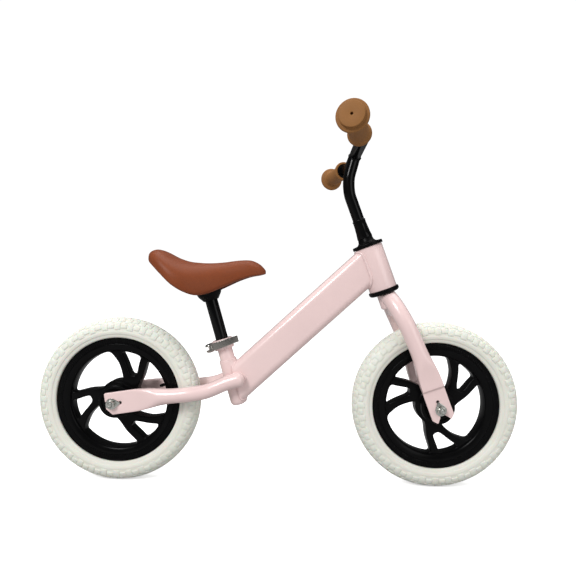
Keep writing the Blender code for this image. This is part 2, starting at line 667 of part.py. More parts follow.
# ---- seat ---------------------------------------------------------------------------------------------------------

def saddle_sections():
    """Along the saddle, tail to nose: (x, half width, top height, bottom height)."""
    return [(-0.2275, 0.014, 0.4050, 0.3960), (-0.2220, 0.030, 0.4100, 0.3885), (-0.2120, 0.042, 0.4125, 0.3800),
            (-0.1980, 0.052, 0.4085, 0.3675), (-0.1780, 0.059, 0.3985, 0.3520), (-0.1580, 0.058, 0.3920, 0.3405),
            (-0.1380, 0.050, 0.3897, 0.3350), (-0.1180, 0.041, 0.3893, 0.3385), (-0.0950, 0.032, 0.3910, 0.3475),
            (-0.0700, 0.027, 0.3945, 0.3570), (-0.0480, 0.024, 0.3950, 0.3650), (-0.0330, 0.020, 0.3890, 0.3680),
            (-0.0250, 0.014, 0.3820, 0.3700), (-0.0215, 0.007, 0.3775, 0.3715)]


def saddle_loft(name, sections, inset, power):
    """A body along the saddle whose sections are (x, half width, top, bottom), narrowed by an inset."""
    stations = []
    for x, half_width, top, bottom in sections:
        centre = Vector((x, 0, (top + bottom) / 2))
        stations.append([centre, Vector((0, 1, 0)), Vector((0, 0, 1)), half_width - inset, (top - bottom) / 2, power])
    return loft(name, stations, sides=18)


def build_seat(seat):
    """The post, the padded cover and the plastic base that joins them, with its cross screw."""
    sections = saddle_sections()
    inner = [(x, width, low + (top - low) * 0.45, low - 0.02) for x, width, top, low in sections[2:-3]]
    cover = add_part(saddle_loft("saddle_cover", sections, 0.0, 2.6), SADDLE_SKIN, Matrix(), seat)
    combine(cover, add_cutter(saddle_loft("saddle_hollow", inner, 0.0060, 6), Matrix()))

    plate = [(x, width * 0.8, top - 0.0025, top - 0.0095) for x, width, top, low in inner[1:-1]]
    base = add_part(saddle_loft("saddle_base", plate, 0.0060, 6), BLACK_PLASTIC, Matrix(), seat)
    post_hole = SEATPOST_RADIUS + GAP
    socket = [(0, 0.1200), (0.0200, 0.1200), (0.0235, 0.1060), (0.0225, 0.0985), (0.0150, 0.0905),
              (0.0135, 0.0900), (post_hole, 0.0900), (post_hole, SEATPOST_TOP + GAP), (0, SEATPOST_TOP + GAP)]
    combine(base, add_cutter(turned("saddle_socket", socket, closed=False), SEAT), "UNION")
    post = ring("seatpost", SEATPOST_RADIUS, 0.0092, SEATPOST_TOP, SEATPOST_BOTTOM, 24)
    add_part(post, BLACK_PAINT, SEAT, seat)
    across = SEAT @ Matrix.Translation((0, 0, 0.1040)) @ Matrix.Rotation(math.radians(90), 4, "X")
    for holed in (base, post):
        combine(holed, add_cutter(cylinder(holed.name + "_screw_hole", 0.0024, -0.03, 0.03, 12), across))
    add_part(cylinder("saddle_screw", 0.0020, -0.0225, 0.0225, 12), STEEL, across, seat)


# ---- seat clamp ---------------------------------------------------------------------------------------------------

LEVER_PIVOT = SEAT @ Matrix.Translation((-SKEWER_BACK, -0.0165, CLAMP_HEIGHT / 2))


def build_clamp(lever_pivot):
    """The split collar, its cross bolt and nut, and the cam lever that lies along its right side."""
    collar = add_part(ring("seat_clamp", CLAMP_RADIUS, SEAT_SLEEVE_RADIUS + GAP, CLAMP_HEIGHT, 0.0, 24), PINK, SEAT)
    ears = box("seat_clamp_ears", (-SKEWER_BACK - 0.0055, -0.0085, 0.0025), (-0.0150, 0.0085, 0.0155))
    combine(collar, add_cutter(ears, SEAT), "UNION")
    slit = box("seat_clamp_slit", (-0.04, -0.0015, -0.01), (0, 0.0015, 0.03))
    combine(collar, add_cutter(slit, SEAT))
    bolt_frame = SEAT @ Matrix.Translation((-SKEWER_BACK, 0, CLAMP_HEIGHT / 2))
    bolt_frame = bolt_frame @ Matrix.Rotation(math.radians(90), 4, "X")
    combine(collar, add_cutter(cylinder("seat_clamp_bore", 0.0033, -0.1, 0.1, 16), bolt_frame))
    add_part(cylinder("clamp_skewer", 0.0030, -0.0165, 0.0093, 16), STEEL, bolt_frame)
    add_part(ring("clamp_nut", 0.0056, 0.0033, -0.0088, -0.0148, 20), STEEL, bolt_frame)
    add_part(cylinder("cam_pin", 0.0020, -0.0070, 0.0070, 12), STEEL, LEVER_PIVOT)

    route = [Vector(point) for point in ((0, 0, 0), (0.0064, -0.0035, 0.0005), (0.0164, -0.0049, 0.0013),
                                         (0.0274, -0.0049, 0.0021), (0.0374, -0.0038, 0.0028),
                                         (0.0454, -0.0027, 0.0035), (0.0524, -0.0025, 0.0040))]
    stations = []
    for index, centre in enumerate(route):
        heading = route[min(index + 1, len(route) - 1)] - route[max(index - 1, 0)]
        across = Vector((-heading.y, heading.x, 0)).normalized()
        stations.append([centre, across, Vector((0, 0, 1)), 0.0013, blend(0.0058, 0.0047, index / 6), 6])
    lever = add_part(loft("clamp_lever", stations, sides=12), STEEL, LEVER_PIVOT, lever_pivot)
    combine(lever, add_cutter(cylinder("clamp_lever_barrel", 0.0068, -0.0060, 0.0060, 20), LEVER_PIVOT), "UNION")
    combine(lever, add_cutter(cylinder("clamp_lever_hole", 0.0023, -0.05, 0.05, 12), LEVER_PIVOT))


# ---- assembly -----------------------------------------------------------------------------------------------------

def main():
    steering = add_pivot("steering_axis", HEAD)
    front = add_pivot("front_wheel_axis", wheel_frame(FRONT_AXLE), steering)
    rear = add_pivot("rear_wheel_axis", wheel_frame(REAR_AXLE))
    seat = add_pivot("saddle_height_axis", SEAT)
    lever = add_pivot("clamp_lever_axis", LEVER_PIVOT)

    build_head_tube()
    build_down_tube()
    build_seat_tube()
    for side, word in ((-1, "right"), (1, "left")):
        build_chainstay(side, word)
        build_fork_leg(side, word, steering)
    build_headset(steering)
    build_steerer(steering)
    build_handlebar(steering)
    build_axle("rear", REAR_AXLE, STAY_SLOPE, None)
    build_axle("front", FRONT_AXLE, math.pi / 2 + HEAD_ANGLE, steering)
    build_wheel("rear", REAR_AXLE, REAR_SPOKE_TURN, math.radians(17.5), rear)
    build_wheel("front", FRONT_AXLE, FRONT_SPOKE_TURN, math.radians(105), front)
    build_clamp(lever)
    build_seat(seat)


clear_scene()
PARTS = new_collection("balance_bike")
CUTTERS = new_collection("cutters")
PINK = material("frame_paint", (0.80, 0.56, 0.54), 0.30)
BLACK_PAINT = material("black_paint", (0.012, 0.012, 0.013), 0.22)
BLACK_PLASTIC = material("black_plastic", (0.015, 0.015, 0.016), 0.35)
FOAM = material("tyre_foam", (0.72, 0.71, 0.64), 0.85)
SADDLE_SKIN = material("saddle_skin", (0.30, 0.08, 0.04), 0.45)
GRIP_RUBBER = material("grip_rubber", (0.38, 0.16, 0.06), 0.60)
STEEL = material("plated_steel", (0.62, 0.62, 0.60), 0.30, 1.0)

if __name__ == "__main__":
    main()
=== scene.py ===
"""A child's balance bike: its finished pieces, built round the solid parts that carry them."""

import json
import math

import bmesh
import bpy
from mathutils import Matrix, Vector
from mathutils.geometry import interpolate_bezier


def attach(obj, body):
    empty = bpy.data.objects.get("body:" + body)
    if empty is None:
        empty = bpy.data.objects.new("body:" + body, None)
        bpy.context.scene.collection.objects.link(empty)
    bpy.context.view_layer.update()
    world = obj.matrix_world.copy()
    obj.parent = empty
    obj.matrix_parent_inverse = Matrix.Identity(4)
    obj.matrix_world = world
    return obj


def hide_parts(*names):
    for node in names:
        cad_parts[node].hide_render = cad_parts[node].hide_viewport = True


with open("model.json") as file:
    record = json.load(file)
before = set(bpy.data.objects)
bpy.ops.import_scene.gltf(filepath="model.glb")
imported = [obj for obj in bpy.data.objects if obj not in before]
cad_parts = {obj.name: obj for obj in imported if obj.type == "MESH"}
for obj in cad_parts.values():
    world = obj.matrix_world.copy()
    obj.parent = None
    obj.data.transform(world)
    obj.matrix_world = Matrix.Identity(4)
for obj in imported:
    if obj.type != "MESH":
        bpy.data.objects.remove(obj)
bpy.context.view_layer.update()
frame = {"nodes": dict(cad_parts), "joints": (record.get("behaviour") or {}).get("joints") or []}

bl_info = {
    "name": "Balance Bike",
    "version": (1, 0, 0),
    "blender": (4, 5, 0),
    "location": "3D View > Sidebar > Balance Bike",
    "description": "Builds a child's balance bike, one group of pieces at a time",
    "category": "Object",
}

JOINTS = {joint["name"]: joint for joint in frame["joints"]}
REAR_AXLE = Vector(JOINTS["rear_wheel_spin"]["pos_m"])
FRONT_AXLE = Vector(JOINTS["front_wheel_spin"]["pos_m"])
RIGHT_LEFT = ((-1, "right"), (1, "left"))
FULL_TURN = 2 * math.pi
QUARTER_TURN = math.pi / 2


def leaning_frame(origin, axis):
    """A frame whose Z lies along a tube that leans back in the bike's middle plane."""
    return Matrix.Translation(Vector(origin)) @ Matrix.Rotation(-math.atan2(-axis[0], axis[2]), 4, "Y")


def wheel_frame(axle):
    """A frame at an axle whose Z points to the rider's left."""
    return Matrix.Translation(axle) @ Matrix.Rotation(-QUARTER_TURN, 4, "X")


HEAD = leaning_frame(JOINTS["steering_turn"]["pos_m"], JOINTS["steering_turn"]["axis"])
SEAT = leaning_frame((-0.0933, 0, 0.2370), JOINTS["saddle_height"]["axis"])
LEVER = Matrix.Translation(Vector(JOINTS["clamp_lever_turn"]["pos_m"])) @ SEAT.to_3x3().to_4x4()
HEAD_Z = HEAD.to_3x3() @ Vector((0, 0, 1))

HEAD_TUBE_RADIUS = 0.0245
HEAD_TUBE_HALF_LENGTH = 0.0395
SEAT_TUBE_RADIUS = 0.0155
SEAT_TUBE_LENGTH = 0.1035
SEAT_SLEEVE_RADIUS = 0.0131
SEAT_SLEEVE_SHOWN = 0.0205
DOWN_LOW = Vector((-0.0700, 0, 0.1760))
DOWN_HIGH = Vector((0.1700, 0, 0.3981))
DOWN_HALF_HEIGHT = 0.0303
DOWN_HALF_WIDTH = 0.0190
DOWN_CORNER = 0.0130
STAY_SLOPE = math.radians(9.1)
STAY_RADIUS = 0.0127
DROPOUT_OUTER = 0.0425
DROPOUT_THICKNESS = 0.0062
DROPOUT_HALF_HEIGHT = 0.0190
TAB_HOLE_OFFSET = 0.0150
AXLE_RADIUS = 0.0039
AXLE_HALF_LENGTH = 0.0535
FORK_RAKE = 0.0155
AXLE_TO_HEAD = 0.2613
FORK_TUBE_RADIUS = 0.0142
CROWN_TOP = -0.0485
CROWN_BOTTOM = -0.0740
CROWN_RADIUS = 0.0145
STEERER_RADIUS = 0.0127
BAR_RADIUS = 0.0103
BAR_CENTRE = Vector((0.1345, 0, 0.5830))
BAR_BEND = 0.0850
BAR_SWEEP = math.radians(14.7)
GRIP_START = 0.0295
GRIP_LENGTH = 0.0890
QUILL_RADIUS = 0.0110
QUILL_TOP = 0.0880
STEM_LEAN = math.radians(15)
SEATPOST_RADIUS = 0.0111
SEATPOST_BOTTOM = -0.0420
SEATPOST_TOP = 0.1120
HUB_RADIUS = 0.0286
HUB_HALF_WIDTH = 0.0300
BEARING_RADIUS = 0.0110
TYRE_WIDEST = 0.1260
TYRE_HALF_WIDTH = 0.0212
TYRE_HALF_HEIGHT = 0.0190
TREAD_RADIUS = 0.145
TREAD_EDGE = 0.0335
AXLE_BORE = 0.0042
FIT_GAP = 0.0003
HEADSET_FLANGE = 0.0270
CAMERA_PLACE = (0.0367, -0.7954, 0.3613)
CAMERA_TURN = (1.29, -1.04, -0.77)
DOWN_FOOT_PLANE = 0.0075
FORK_FOOT = AXLE_TO_HEAD + 0.0193
SPOKE_FLOOR = 0.0325

DOWN_DIRECTION = (DOWN_HIGH - DOWN_LOW).normalized()
DOWN = Matrix.Translation((DOWN_LOW + DOWN_HIGH) / 2) @ Vector((0, 0, 1)).rotation_difference(
    DOWN_DIRECTION
).to_matrix().to_4x4()


# ---- shaping ------------------------------------------------------------------------------------------------------


def ease(start, end, share):
    """A value that eases from start to end as the share goes from 0 to 1."""
    share = min(max(share, 0.0), 1.0)
    return start + (end - start) * share * share * (3 - 2 * share)


def smooth_route(points, steps):
    """Points along one smooth curve through the given ones, with so many steps between each two."""
    points = [Vector(point) for point in points]
    route = []
    for index in range(len(points) - 1):
        before = points[max(index - 1, 0)]
        start, end = points[index], points[index + 1]
        after = points[min(index + 2, len(points) - 1)]
        route += interpolate_bezier(start, start + (end - before) / 6, end - (after - start) / 6, end, steps + 1)[:-1]
    return route + [points[-1]]


def everything(bm):
    """All of a shape's parts, as most operators want them."""
    return bm.verts[:] + bm.edges[:] + bm.faces[:]


def only(items, kind):
    """The vertices, edges or faces among an operator's results."""
    return [item for item in items if isinstance(item, kind)]


def linked(bm, points, closed=True):
    """New vertices at the points, joined by edges into a line or a ring."""
    verts = [bm.verts.new(point) for point in points]
    for first, second in zip(verts, verts[1:] + verts[:closed]):
        bm.edges.new((first, second))
    return verts


def rounded(bm, geom, width, segments=2, affect="EDGES", clamp=False):
    """Rounds the edges or corners given with a bevel."""
    bmesh.ops.bevel(bm, geom=geom, offset=width, offset_type="OFFSET", segments=segments, profile=0.5, affect=affect,
                    material=-1, clamp_overlap=clamp)


def grown_ring(bm, edges):
    """Extrudes an open ring of edges in place and gives the new vertices and edges."""
    grown = bmesh.ops.extrude_edge_only(bm, edges=edges)["geom"]
    ring = only(grown, bmesh.types.BMVert)
    held = set(ring)
    return ring, [edge for edge in only(grown, bmesh.types.BMEdge) if held.issuperset(edge.verts)]


def filleted(points, radius, steps, closed=False):
    """A route or outline with its clear corners rounded by a bevel of its vertices."""
    bm = bmesh.new()
    verts = linked(bm, points, closed)
    corners = []
    for index, vert in enumerate(verts):
        if closed or 0 < index < len(verts) - 1:
            before = verts[index - 1].co - vert.co
            after = verts[(index + 1) % len(verts)].co - vert.co
            half = before.angle(after) / 2
            if half < math.radians(78):
                reach = min(radius / math.tan(half), before.length * 0.48, after.length * 0.48)
                corners.append((vert, reach))
    for vert, reach in corners:
        rounded(bm, [vert], reach, steps, "VERTICES")
    bm.verts.ensure_lookup_table()
    start = bm.verts[0] if closed else next(vert for vert in bm.verts if len(vert.link_edges) == 1
                                            and (vert.co - Vector(points[0])).length < 1e-6)
    route, came = [start.co.copy()], None
    vert = start
    while True:
        ways = [edge for edge in vert.link_edges if edge is not came]
        if not ways:
            break
        came = ways[0]
        vert = came.other_vert(vert)
        if vert is start:
            break
        route.append(vert.co.copy())
    bm.free()
    return route


def turned(profile, steps=96, closed=True):
    """A turned shape about Z. Each point of the profile is (radius, height) or (radius, height, rounding)."""
    bm = bmesh.new()
    verts = linked(bm, [(point[0], 0, point[1]) for point in profile], closed)
    for vert, point in zip(verts, profile):
        if len(point) == 3:
            rounded(bm, [vert], point[2], 3, "VERTICES")
    bmesh.ops.spin(bm, geom=bm.verts[:] + bm.edges[:], cent=(0, 0, 0), axis=(0, 0, 1), angle=FULL_TURN, steps=steps,
                   use_merge=True, use_normal_flip=False, use_duplicate=False)
    bmesh.ops.remove_doubles(bm, verts=bm.verts, dist=0.000002)
    bmesh.ops.recalc_face_normals(bm, faces=bm.faces)
    return bm


def plug(radius, low, high, steps):
    """A round plug that cuts a hole."""
    return turned([(0, low), (radius, low), (radius, high), (0, high)], steps, closed=False)


def both_faces(half, shared=0):
    """A wheel part's whole profile from the half on one face, less the points that lie on the middle plane."""
    return [(point[0], -point[1], *point[2:]) for point in half[shared:]][::-1] + half


def repeated_round(bm, count):
    """A shape copied evenly round Z so many times."""
    bmesh.ops.spin(bm, geom=everything(bm), cent=(0, 0, 0), axis=(0, 0, 1), angle=FULL_TURN * (count - 1) / count,
                   steps=count - 1, use_merge=False, use_normal_flip=False, use_duplicate=True)
    return bm


def oval_point(angle, half_width, half_height, power):
    """A point at an angle round an oval that squares up as its power grows from 2."""
    across = math.copysign(abs(math.cos(angle)) ** (2 / power), math.cos(angle))
    up = math.copysign(abs(math.sin(angle)) ** (2 / power), math.sin(angle))
    return half_width * across, half_height * up


def drawn(stations, segments=48, loop=False, shape=None):
    """A skin drawn through sections, each (centre, across, up, half width, half height, power)."""
    bm = bmesh.new()
    turn = bm.verts.layers.float.new("turn")
    ring = bmesh.ops.create_circle(bm, cap_ends=False, segments=segments, radius=1)["verts"]
    for vert in ring:
        vert[turn] = math.atan2(vert.co.y, vert.co.x)
    first = edges = bm.edges[:]
    for index, (centre, across, up, half_width, half_height, power) in enumerate(stations):
        if index:
            ring, edges = grown_ring(bm, edges)
        for vert in ring:
            x, y = (shape or oval_point)(vert[turn], half_width, half_height, power)
            vert.co = centre + across * x + up * y
    if loop:
        bmesh.ops.bridge_loops(bm, edges=first + edges)
    else:
        bmesh.ops.edgeloop_fill(bm, edges=first)
        bmesh.ops.edgeloop_fill(bm, edges=edges)
    bmesh.ops.recalc_face_normals(bm, faces=bm.faces)
    return bm


def tube_stations(route, radius, side, loop=False):
    """Round sections along a route. side is a direction that the route never follows, or a centre to turn about."""
    stations = []
    count = len(route)
    for index, point in enumerate(route):
        before = route[index - 1] if loop or index else point
        after = route[(index + 1) % count] if loop or index < count - 1 else point
        heading = (after - before).normalized()
        towards = point - side if loop else side
        up = (towards - heading * towards.dot(heading)).normalized()
        size = radius(index) if callable(radius) else radius
        stations.append((point, heading.cross(up), up, size, size, 2))
    return stations


def block(low, high, bevel=0.0, segments=2):
    """A rectangular block between two corners with softened edges."""
    low, high = Vector(low), Vector(high)
    bm = bmesh.new()
    bmesh.ops.create_cube(bm, size=1)
    bmesh.ops.scale(bm, vec=high - low, verts=bm.verts)
    bmesh.ops.translate(bm, vec=(low + high) / 2, verts=bm.verts)
    if bevel:
        rounded(bm, bm.edges[:], bevel, segments)
    return bm


def slab(outline, low, high):
    """A flat outline in XY given thickness from low to high."""
    bm = bmesh.new()
    bm.faces.new([bm.verts.new((point[0], point[1], low)) for point in outline])
    grown = bmesh.ops.extrude_face_region(bm, geom=bm.faces[:])["geom"]
    bmesh.ops.translate(bm, vec=(0, 0, high - low), verts=only(grown, bmesh.types.BMVert))
    bmesh.ops.recalc_face_normals(bm, faces=bm.faces)
    return bm


def moved(bm, matrix):
    """The same shape carried to another place."""
    bmesh.ops.transform(bm, matrix=matrix, verts=bm.verts)
    return bm


def joined(*parts):
    """Several shapes as one."""
    whole = bmesh.new()
    for part in parts:
        mesh = bpy.data.meshes.new("part")
        part.to_mesh(mesh)
        part.free()
        whole.from_mesh(mesh)
        bpy.data.meshes.remove(mesh)
    return whole


def carrier(bm):
    """A passing object that holds a shape while a modifier works on it."""
    mesh = bpy.data.meshes.new("carrier")
    bm.to_mesh(mesh)
    bm.free()
    obj = bpy.data.objects.new("carrier", mesh)
    bpy.context.scene.collection.objects.link(obj)
    return obj


def carved(body, tool, operation="DIFFERENCE"):
    """A shape with another taken away from it, joined to it, or shared with it."""
    base, cutter = carrier(body), carrier(tool)
    change = base.modifiers.new("Carve", "BOOLEAN")
    change.operation = operation
    change.solver = "EXACT"
    change.object = cutter
    bpy.context.view_layer.update()
    result = bpy.data.meshes.new_from_object(base.evaluated_get(bpy.context.evaluated_depsgraph_get()))
    for obj in (base, cutter):
        mesh = obj.data
        bpy.data.objects.remove(obj)
        bpy.data.meshes.remove(mesh)
    bm = bmesh.new()
    bm.from_mesh(result)
    bpy.data.meshes.remove(result)
    if not bm.faces:
        raise RuntimeError("a carved shape came out empty")
    return bm


def soften(bm, width, angle=50, segments=2):
    """Bevels the edges that are sharper than an angle."""
    edges = [edge for edge in bm.edges if len(edge.link_faces) == 2 and edge.calc_face_angle() > math.radians(angle)]
    rounded(bm, edges, width, segments, clamp=True)
    return bm


def add_piece(name, bm, coat, body, nodes=(), sharp=40):
    """Makes a named piece that rides on a body and stands for the solid parts named."""
    mesh = bpy.data.meshes.new(name)
    bm.to_mesh(mesh)
    bm.free()
    if not mesh.polygons:
        raise RuntimeError(f"{name} came out empty")
    mesh.materials.append(finish(coat))
    mesh.shade_smooth()
    mesh.set_sharp_from_angle(angle=math.radians(sharp))
    piece = bpy.data.objects.new(name, mesh)
    bpy.context.scene.collection.objects.link(piece)
    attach(piece, body)
    if nodes:
        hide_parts(*nodes)
    return piece


# ---- finishes -----------------------------------------------------------------------------------------------------


def new_group(name, inputs, outputs):
    """A node group with named float, colour or vector sockets, and its input and output nodes."""
    group = bpy.data.node_groups.new(name, "ShaderNodeTree")
    for direction, sockets in (("INPUT", inputs), ("OUTPUT", outputs)):
        for label, kind, value in sockets:
            socket = group.interface.new_socket(name=label, in_out=direction, socket_type=kind)
            if value is not None:
                socket.default_value = value
    return group, group.nodes.new("NodeGroupInput"), group.nodes.new("NodeGroupOutput")


def fill(tree, socket, value):
    """Sets a socket to a number or a colour, or links an output to it."""
    if isinstance(value, tuple):
        socket.default_value = (*value, 1)
    elif isinstance(value, (int, float)):
        socket.default_value = value
    else:
        tree.links.new(value, socket)


def place_in(tree):
    """The place of each point of the piece itself."""
    return tree.nodes.new("ShaderNodeTexCoord").outputs["Object"]


def maths(tree, operation, first, second, clamp=False):
    """One step of arithmetic on masks."""
    node = tree.nodes.new("ShaderNodeMath")
    node.operation = operation
    node.use_clamp = clamp
    for socket, value in zip(node.inputs, (first, second)):
        fill(tree, socket, value)
    return node.outputs[0]


def noise(tree, vector, scale, detail=4.0, roughness=0.55):
    """Random clouds of a scale, between 0 and 1."""
    node = tree.nodes.new("ShaderNodeTexNoise")
    for socket, value in (("Detail", detail), ("Roughness", roughness), ("Vector", vector), ("Scale", scale)):
        fill(tree, node.inputs[socket], value)
    return node.outputs["Fac"]


def spread(tree, value, low, high, to_low, to_high):
    """A value's range carried over to another range."""
    node = tree.nodes.new("ShaderNodeMapRange")
    for socket, given in (("Value", value), ("From Min", low), ("From Max", high), ("To Min", to_low),
                          ("To Max", to_high)):
        fill(tree, node.inputs[socket], given)
    return node.outputs["Result"]


def mixed(tree, share, first, second):
    """Two colours mixed by a share."""
    node = tree.nodes.new("ShaderNodeMix")
    node.data_type = "RGBA"
    for index, value in ((0, share), (6, first), (7, second)):
        fill(tree, node.inputs[index], value)
    return node.outputs[2]


def grain_group():
    """Fine random relief over a broader cloudiness, for skins, paints and castings."""
    group, given, result = new_group(
        "Surface Grain",
        [("Scale", "NodeSocketFloat", 1000.0), ("Cloud Scale", "NodeSocketFloat", 25.0)],
        [("Height", "NodeSocketFloat", None), ("Cloud", "NodeSocketFloat", None)],
    )
    place = place_in(group)
    fine = noise(group, place, given.outputs["Scale"], 3.0, 0.6)
    cloud = noise(group, place, given.outputs["Cloud Scale"], 5.0, 0.6)
    group.links.new(fine, result.inputs["Height"])
    group.links.new(spread(group, cloud, 0.3, 0.7, 0.0, 1.0), result.inputs["Cloud"])
    return group


def pebble_group():
    """The small raised cells and creases of a pressed leather skin."""
    group, given, result = new_group(
        "Skin Pebble",
        [("Cell Scale", "NodeSocketFloat", 900.0), ("Warp", "NodeSocketFloat", 0.0006)],
        [("Height", "NodeSocketFloat", None), ("Crease", "NodeSocketFloat", None)],
    )
    place = place_in(group)
    wander = group.nodes.new("ShaderNodeTexNoise")
    wander.inputs["Scale"].default_value = 320.0
    group.links.new(place, wander.inputs["Vector"])
    bent = group.nodes.new("ShaderNodeVectorMath")
    bent.operation = "MULTIPLY_ADD"
    group.links.new(wander.outputs["Color"], bent.inputs[0])
    group.links.new(given.outputs["Warp"], bent.inputs[1])
    group.links.new(place, bent.inputs[2])
    cells = group.nodes.new("ShaderNodeTexVoronoi")
    cells.feature = "DISTANCE_TO_EDGE"
    group.links.new(given.outputs["Cell Scale"], cells.inputs["Scale"])
    group.links.new(bent.outputs[0], cells.inputs["Vector"])
    height = spread(group, cells.outputs["Distance"], 0.0, 0.28, 0.0, 1.0)
    group.links.new(height, result.inputs["Height"])
    group.links.new(spread(group, cells.outputs["Distance"], 0.0, 0.12, 1.0, 0.0), result.inputs["Crease"])
    return group


def rub_group():
    """Where handling has rubbed the raised edges of a piece."""
    group, given, result = new_group(
        "Edge Rub",
        [("Amount", "NodeSocketFloat", 0.5), ("Patch Scale", "NodeSocketFloat", 60.0)],
        [("Mask", "NodeSocketFloat", None)],
    )
    edge = group.nodes.new("ShaderNodeNewGeometry").outputs["Pointiness"]
    place = place_in(group)
    patch = spread(group, noise(group, place, given.outputs["Patch Scale"], 5.0, 0.7), 0.4, 0.65, 0.0, 1.0)
    raised = spread(group, edge, 0.52, 0.60, 0.0, 1.0)
    both = maths(group, "MULTIPLY", raised, patch)
    group.links.new(maths(group, "MULTIPLY", both, given.outputs["Amount"], True), result.inputs["Mask"])
    return group


class Finish:
    """A material under construction: its shader, and the effects that feed it."""

    def __init__(self, name, **constants):
        self.material = bpy.data.materials.new(name)
        if self.material.name != name:
            raise RuntimeError(f"a solid part already has a material called {name}")
        self.material.use_nodes = True
        self.tree = self.material.node_tree
        self.shader = next(node for node in self.tree.nodes if node.type == "BSDF_PRINCIPLED")
        for socket, value in constants.items():
            self.shader.inputs[socket.replace("_", " ")].default_value = value

    def group(self, group, **values):
        node = self.tree.nodes.new("ShaderNodeGroup")
        node.node_tree = group
        for socket, value in values.items():
            node.inputs[socket.replace("_", " ")].default_value = value
        return node

    def feed(self, socket, output):
        self.tree.links.new(output, self.shader.inputs[socket])

    def bump(self, height, depth, strength=1.0):
        node = self.tree.nodes.new("ShaderNodeBump")
        node.inputs["Distance"].default_value = depth
        node.inputs["Strength"].default_value = strength
        self.tree.links.new(height, node.inputs["Height"])
        if self.shader.inputs["Normal"].links:
            self.tree.links.new(self.shader.inputs["Normal"].links[0].from_socket, node.inputs["Normal"])
        self.feed("Normal", node.outputs["Normal"])


def darker(colour, share):
    return tuple(channel * share for channel in colour)


def lighter(colour, share):
    return tuple(min(channel * share, 1) for channel in colour)


def coated_paint(name, colour, roughness, grain, rub, coat=0.45, gloss=0.45):
    """Sprayed enamel under a clear coat, with a trace of orange peel."""
    colour = tuple(colour)
    paint = Finish(name, Coat_Weight=coat, Coat_Roughness=0.09, Specular_IOR_Level=gloss)
    peel = paint.group(grain, Scale=420.0, Cloud_Scale=16.0)
    edge = paint.group(rub, Amount=0.35, Patch_Scale=90.0)
    body = mixed(paint.tree, peel.outputs["Cloud"], darker(colour, 0.975), lighter(colour, 1.02))
    worn = mixed(paint.tree, edge.outputs["Mask"], body, lighter(colour, 1.12))
    paint.feed("Base Color", worn)
    paint.feed("Roughness", spread(paint.tree, peel.outputs["Cloud"], 0.0, 1.0, roughness * 0.85, roughness * 1.15))
    paint.bump(peel.outputs["Height"], 0.00004, 0.35)
    return paint.material


def moulded_plastic(name, colour, roughness, grain, rub, texture=900.0, depth=0.00005, gloss=0.35):
    """Injection-moulded plastic with a faint tool texture and lighter rubbed edges."""
    colour = tuple(colour)
    plastic = Finish(name, Specular_IOR_Level=gloss)
    skin = plastic.group(grain, Scale=texture, Cloud_Scale=40.0)
    edge = plastic.group(rub, Amount=0.5, Patch_Scale=120.0)
    body = mixed(plastic.tree, skin.outputs["Cloud"], darker(colour, 0.8), darker(colour, 1.2))
    plastic.feed("Base Color", mixed(plastic.tree, edge.outputs["Mask"], body, darker(colour, 2.4)))
    rough = spread(plastic.tree, skin.outputs["Cloud"], 0.0, 1.0, roughness * 0.8, roughness * 1.25)
    plastic.feed("Roughness", rough)
    plastic.bump(skin.outputs["Height"], depth, 0.5)
    return plastic.material


def cellular_foam(name, colour, shade, grain):
    """Closed-cell tyre foam: a matt skin, tiny pores painted darker as painted shade, slightly yellowed patches."""
    foam = Finish(name, Specular_IOR_Level=0.25, Subsurface_Weight=0.12, Subsurface_Scale=0.004)
    skin = foam.group(grain, Scale=1500.0, Cloud_Scale=30.0)
    place = place_in(foam.tree)
    pores = foam.tree.nodes.new("ShaderNodeTexVoronoi")
    pores.inputs["Scale"].default_value = 1100.0
    foam.tree.links.new(place, pores.inputs["Vector"])
    pits = spread(foam.tree, pores.outputs["Distance"], 0.08, 0.3, 0.0, 1.0)
    body = mixed(foam.tree, skin.outputs["Cloud"], tuple(colour), tuple(shade))
    # painted shade: the pores are painted darker than the skin round them
    foam.feed("Base Color", mixed(foam.tree, pits, darker(colour, 0.9), body))
    foam.feed("Roughness", spread(foam.tree, skin.outputs["Cloud"], 0.0, 1.0, 0.62, 0.78))
    foam.bump(skin.outputs["Height"], 0.00012, 0.5)
    foam.bump(pits, 0.00006, 0.4)
    return foam.material


def pressed_leather(name, colour, crease_shade_colour, grain, pebble):
    """The saddle's leathercloth skin: soft pebbles, creases painted darker as painted shade, and a low sheen."""
    skin = Finish(name, Specular_IOR_Level=0.20, Sheen_Weight=0.02, Sheen_Roughness=0.45)
    cells = skin.group(pebble, Cell_Scale=820.0, Warp=0.0007)
    cloud = skin.group(grain, Scale=2600.0, Cloud_Scale=22.0)
    body = mixed(skin.tree, cloud.outputs["Cloud"], darker(colour, 0.93), lighter(colour, 1.08))
    # painted shade: the fine creases between the pebbles are painted darker
    skin.feed("Base Color", mixed(skin.tree, maths(skin.tree, "MULTIPLY", cells.outputs["Crease"], 0.55), body,
                                  tuple(crease_shade_colour)))
    skin.feed("Roughness", spread(skin.tree, cells.outputs["Crease"], 0.0, 1.0, 0.40, 0.58))
    skin.bump(cells.outputs["Height"], 0.00009, 0.45)
    skin.bump(cloud.outputs["Height"], 0.00003, 0.3)
    return skin.material


def soft_rubber(name, colour, grain):
    """Moulded grip rubber with a fine matt grain."""
    rubber = Finish(name, Specular_IOR_Level=0.16)
    skin = rubber.group(grain, Scale=1700.0, Cloud_Scale=35.0)
    body = mixed(rubber.tree, skin.outputs["Cloud"], darker(colour, 0.92), lighter(colour, 1.08))
    rubber.feed("Base Color", mixed(rubber.tree, maths(rubber.tree, "MULTIPLY", skin.outputs["Height"], 0.3), body,
                                    darker(colour, 0.75)))
    rubber.feed("Roughness", spread(rubber.tree, skin.outputs["Cloud"], 0.0, 1.0, 0.50, 0.66))
    rubber.bump(skin.outputs["Height"], 0.00010, 0.5)
    return rubber.material


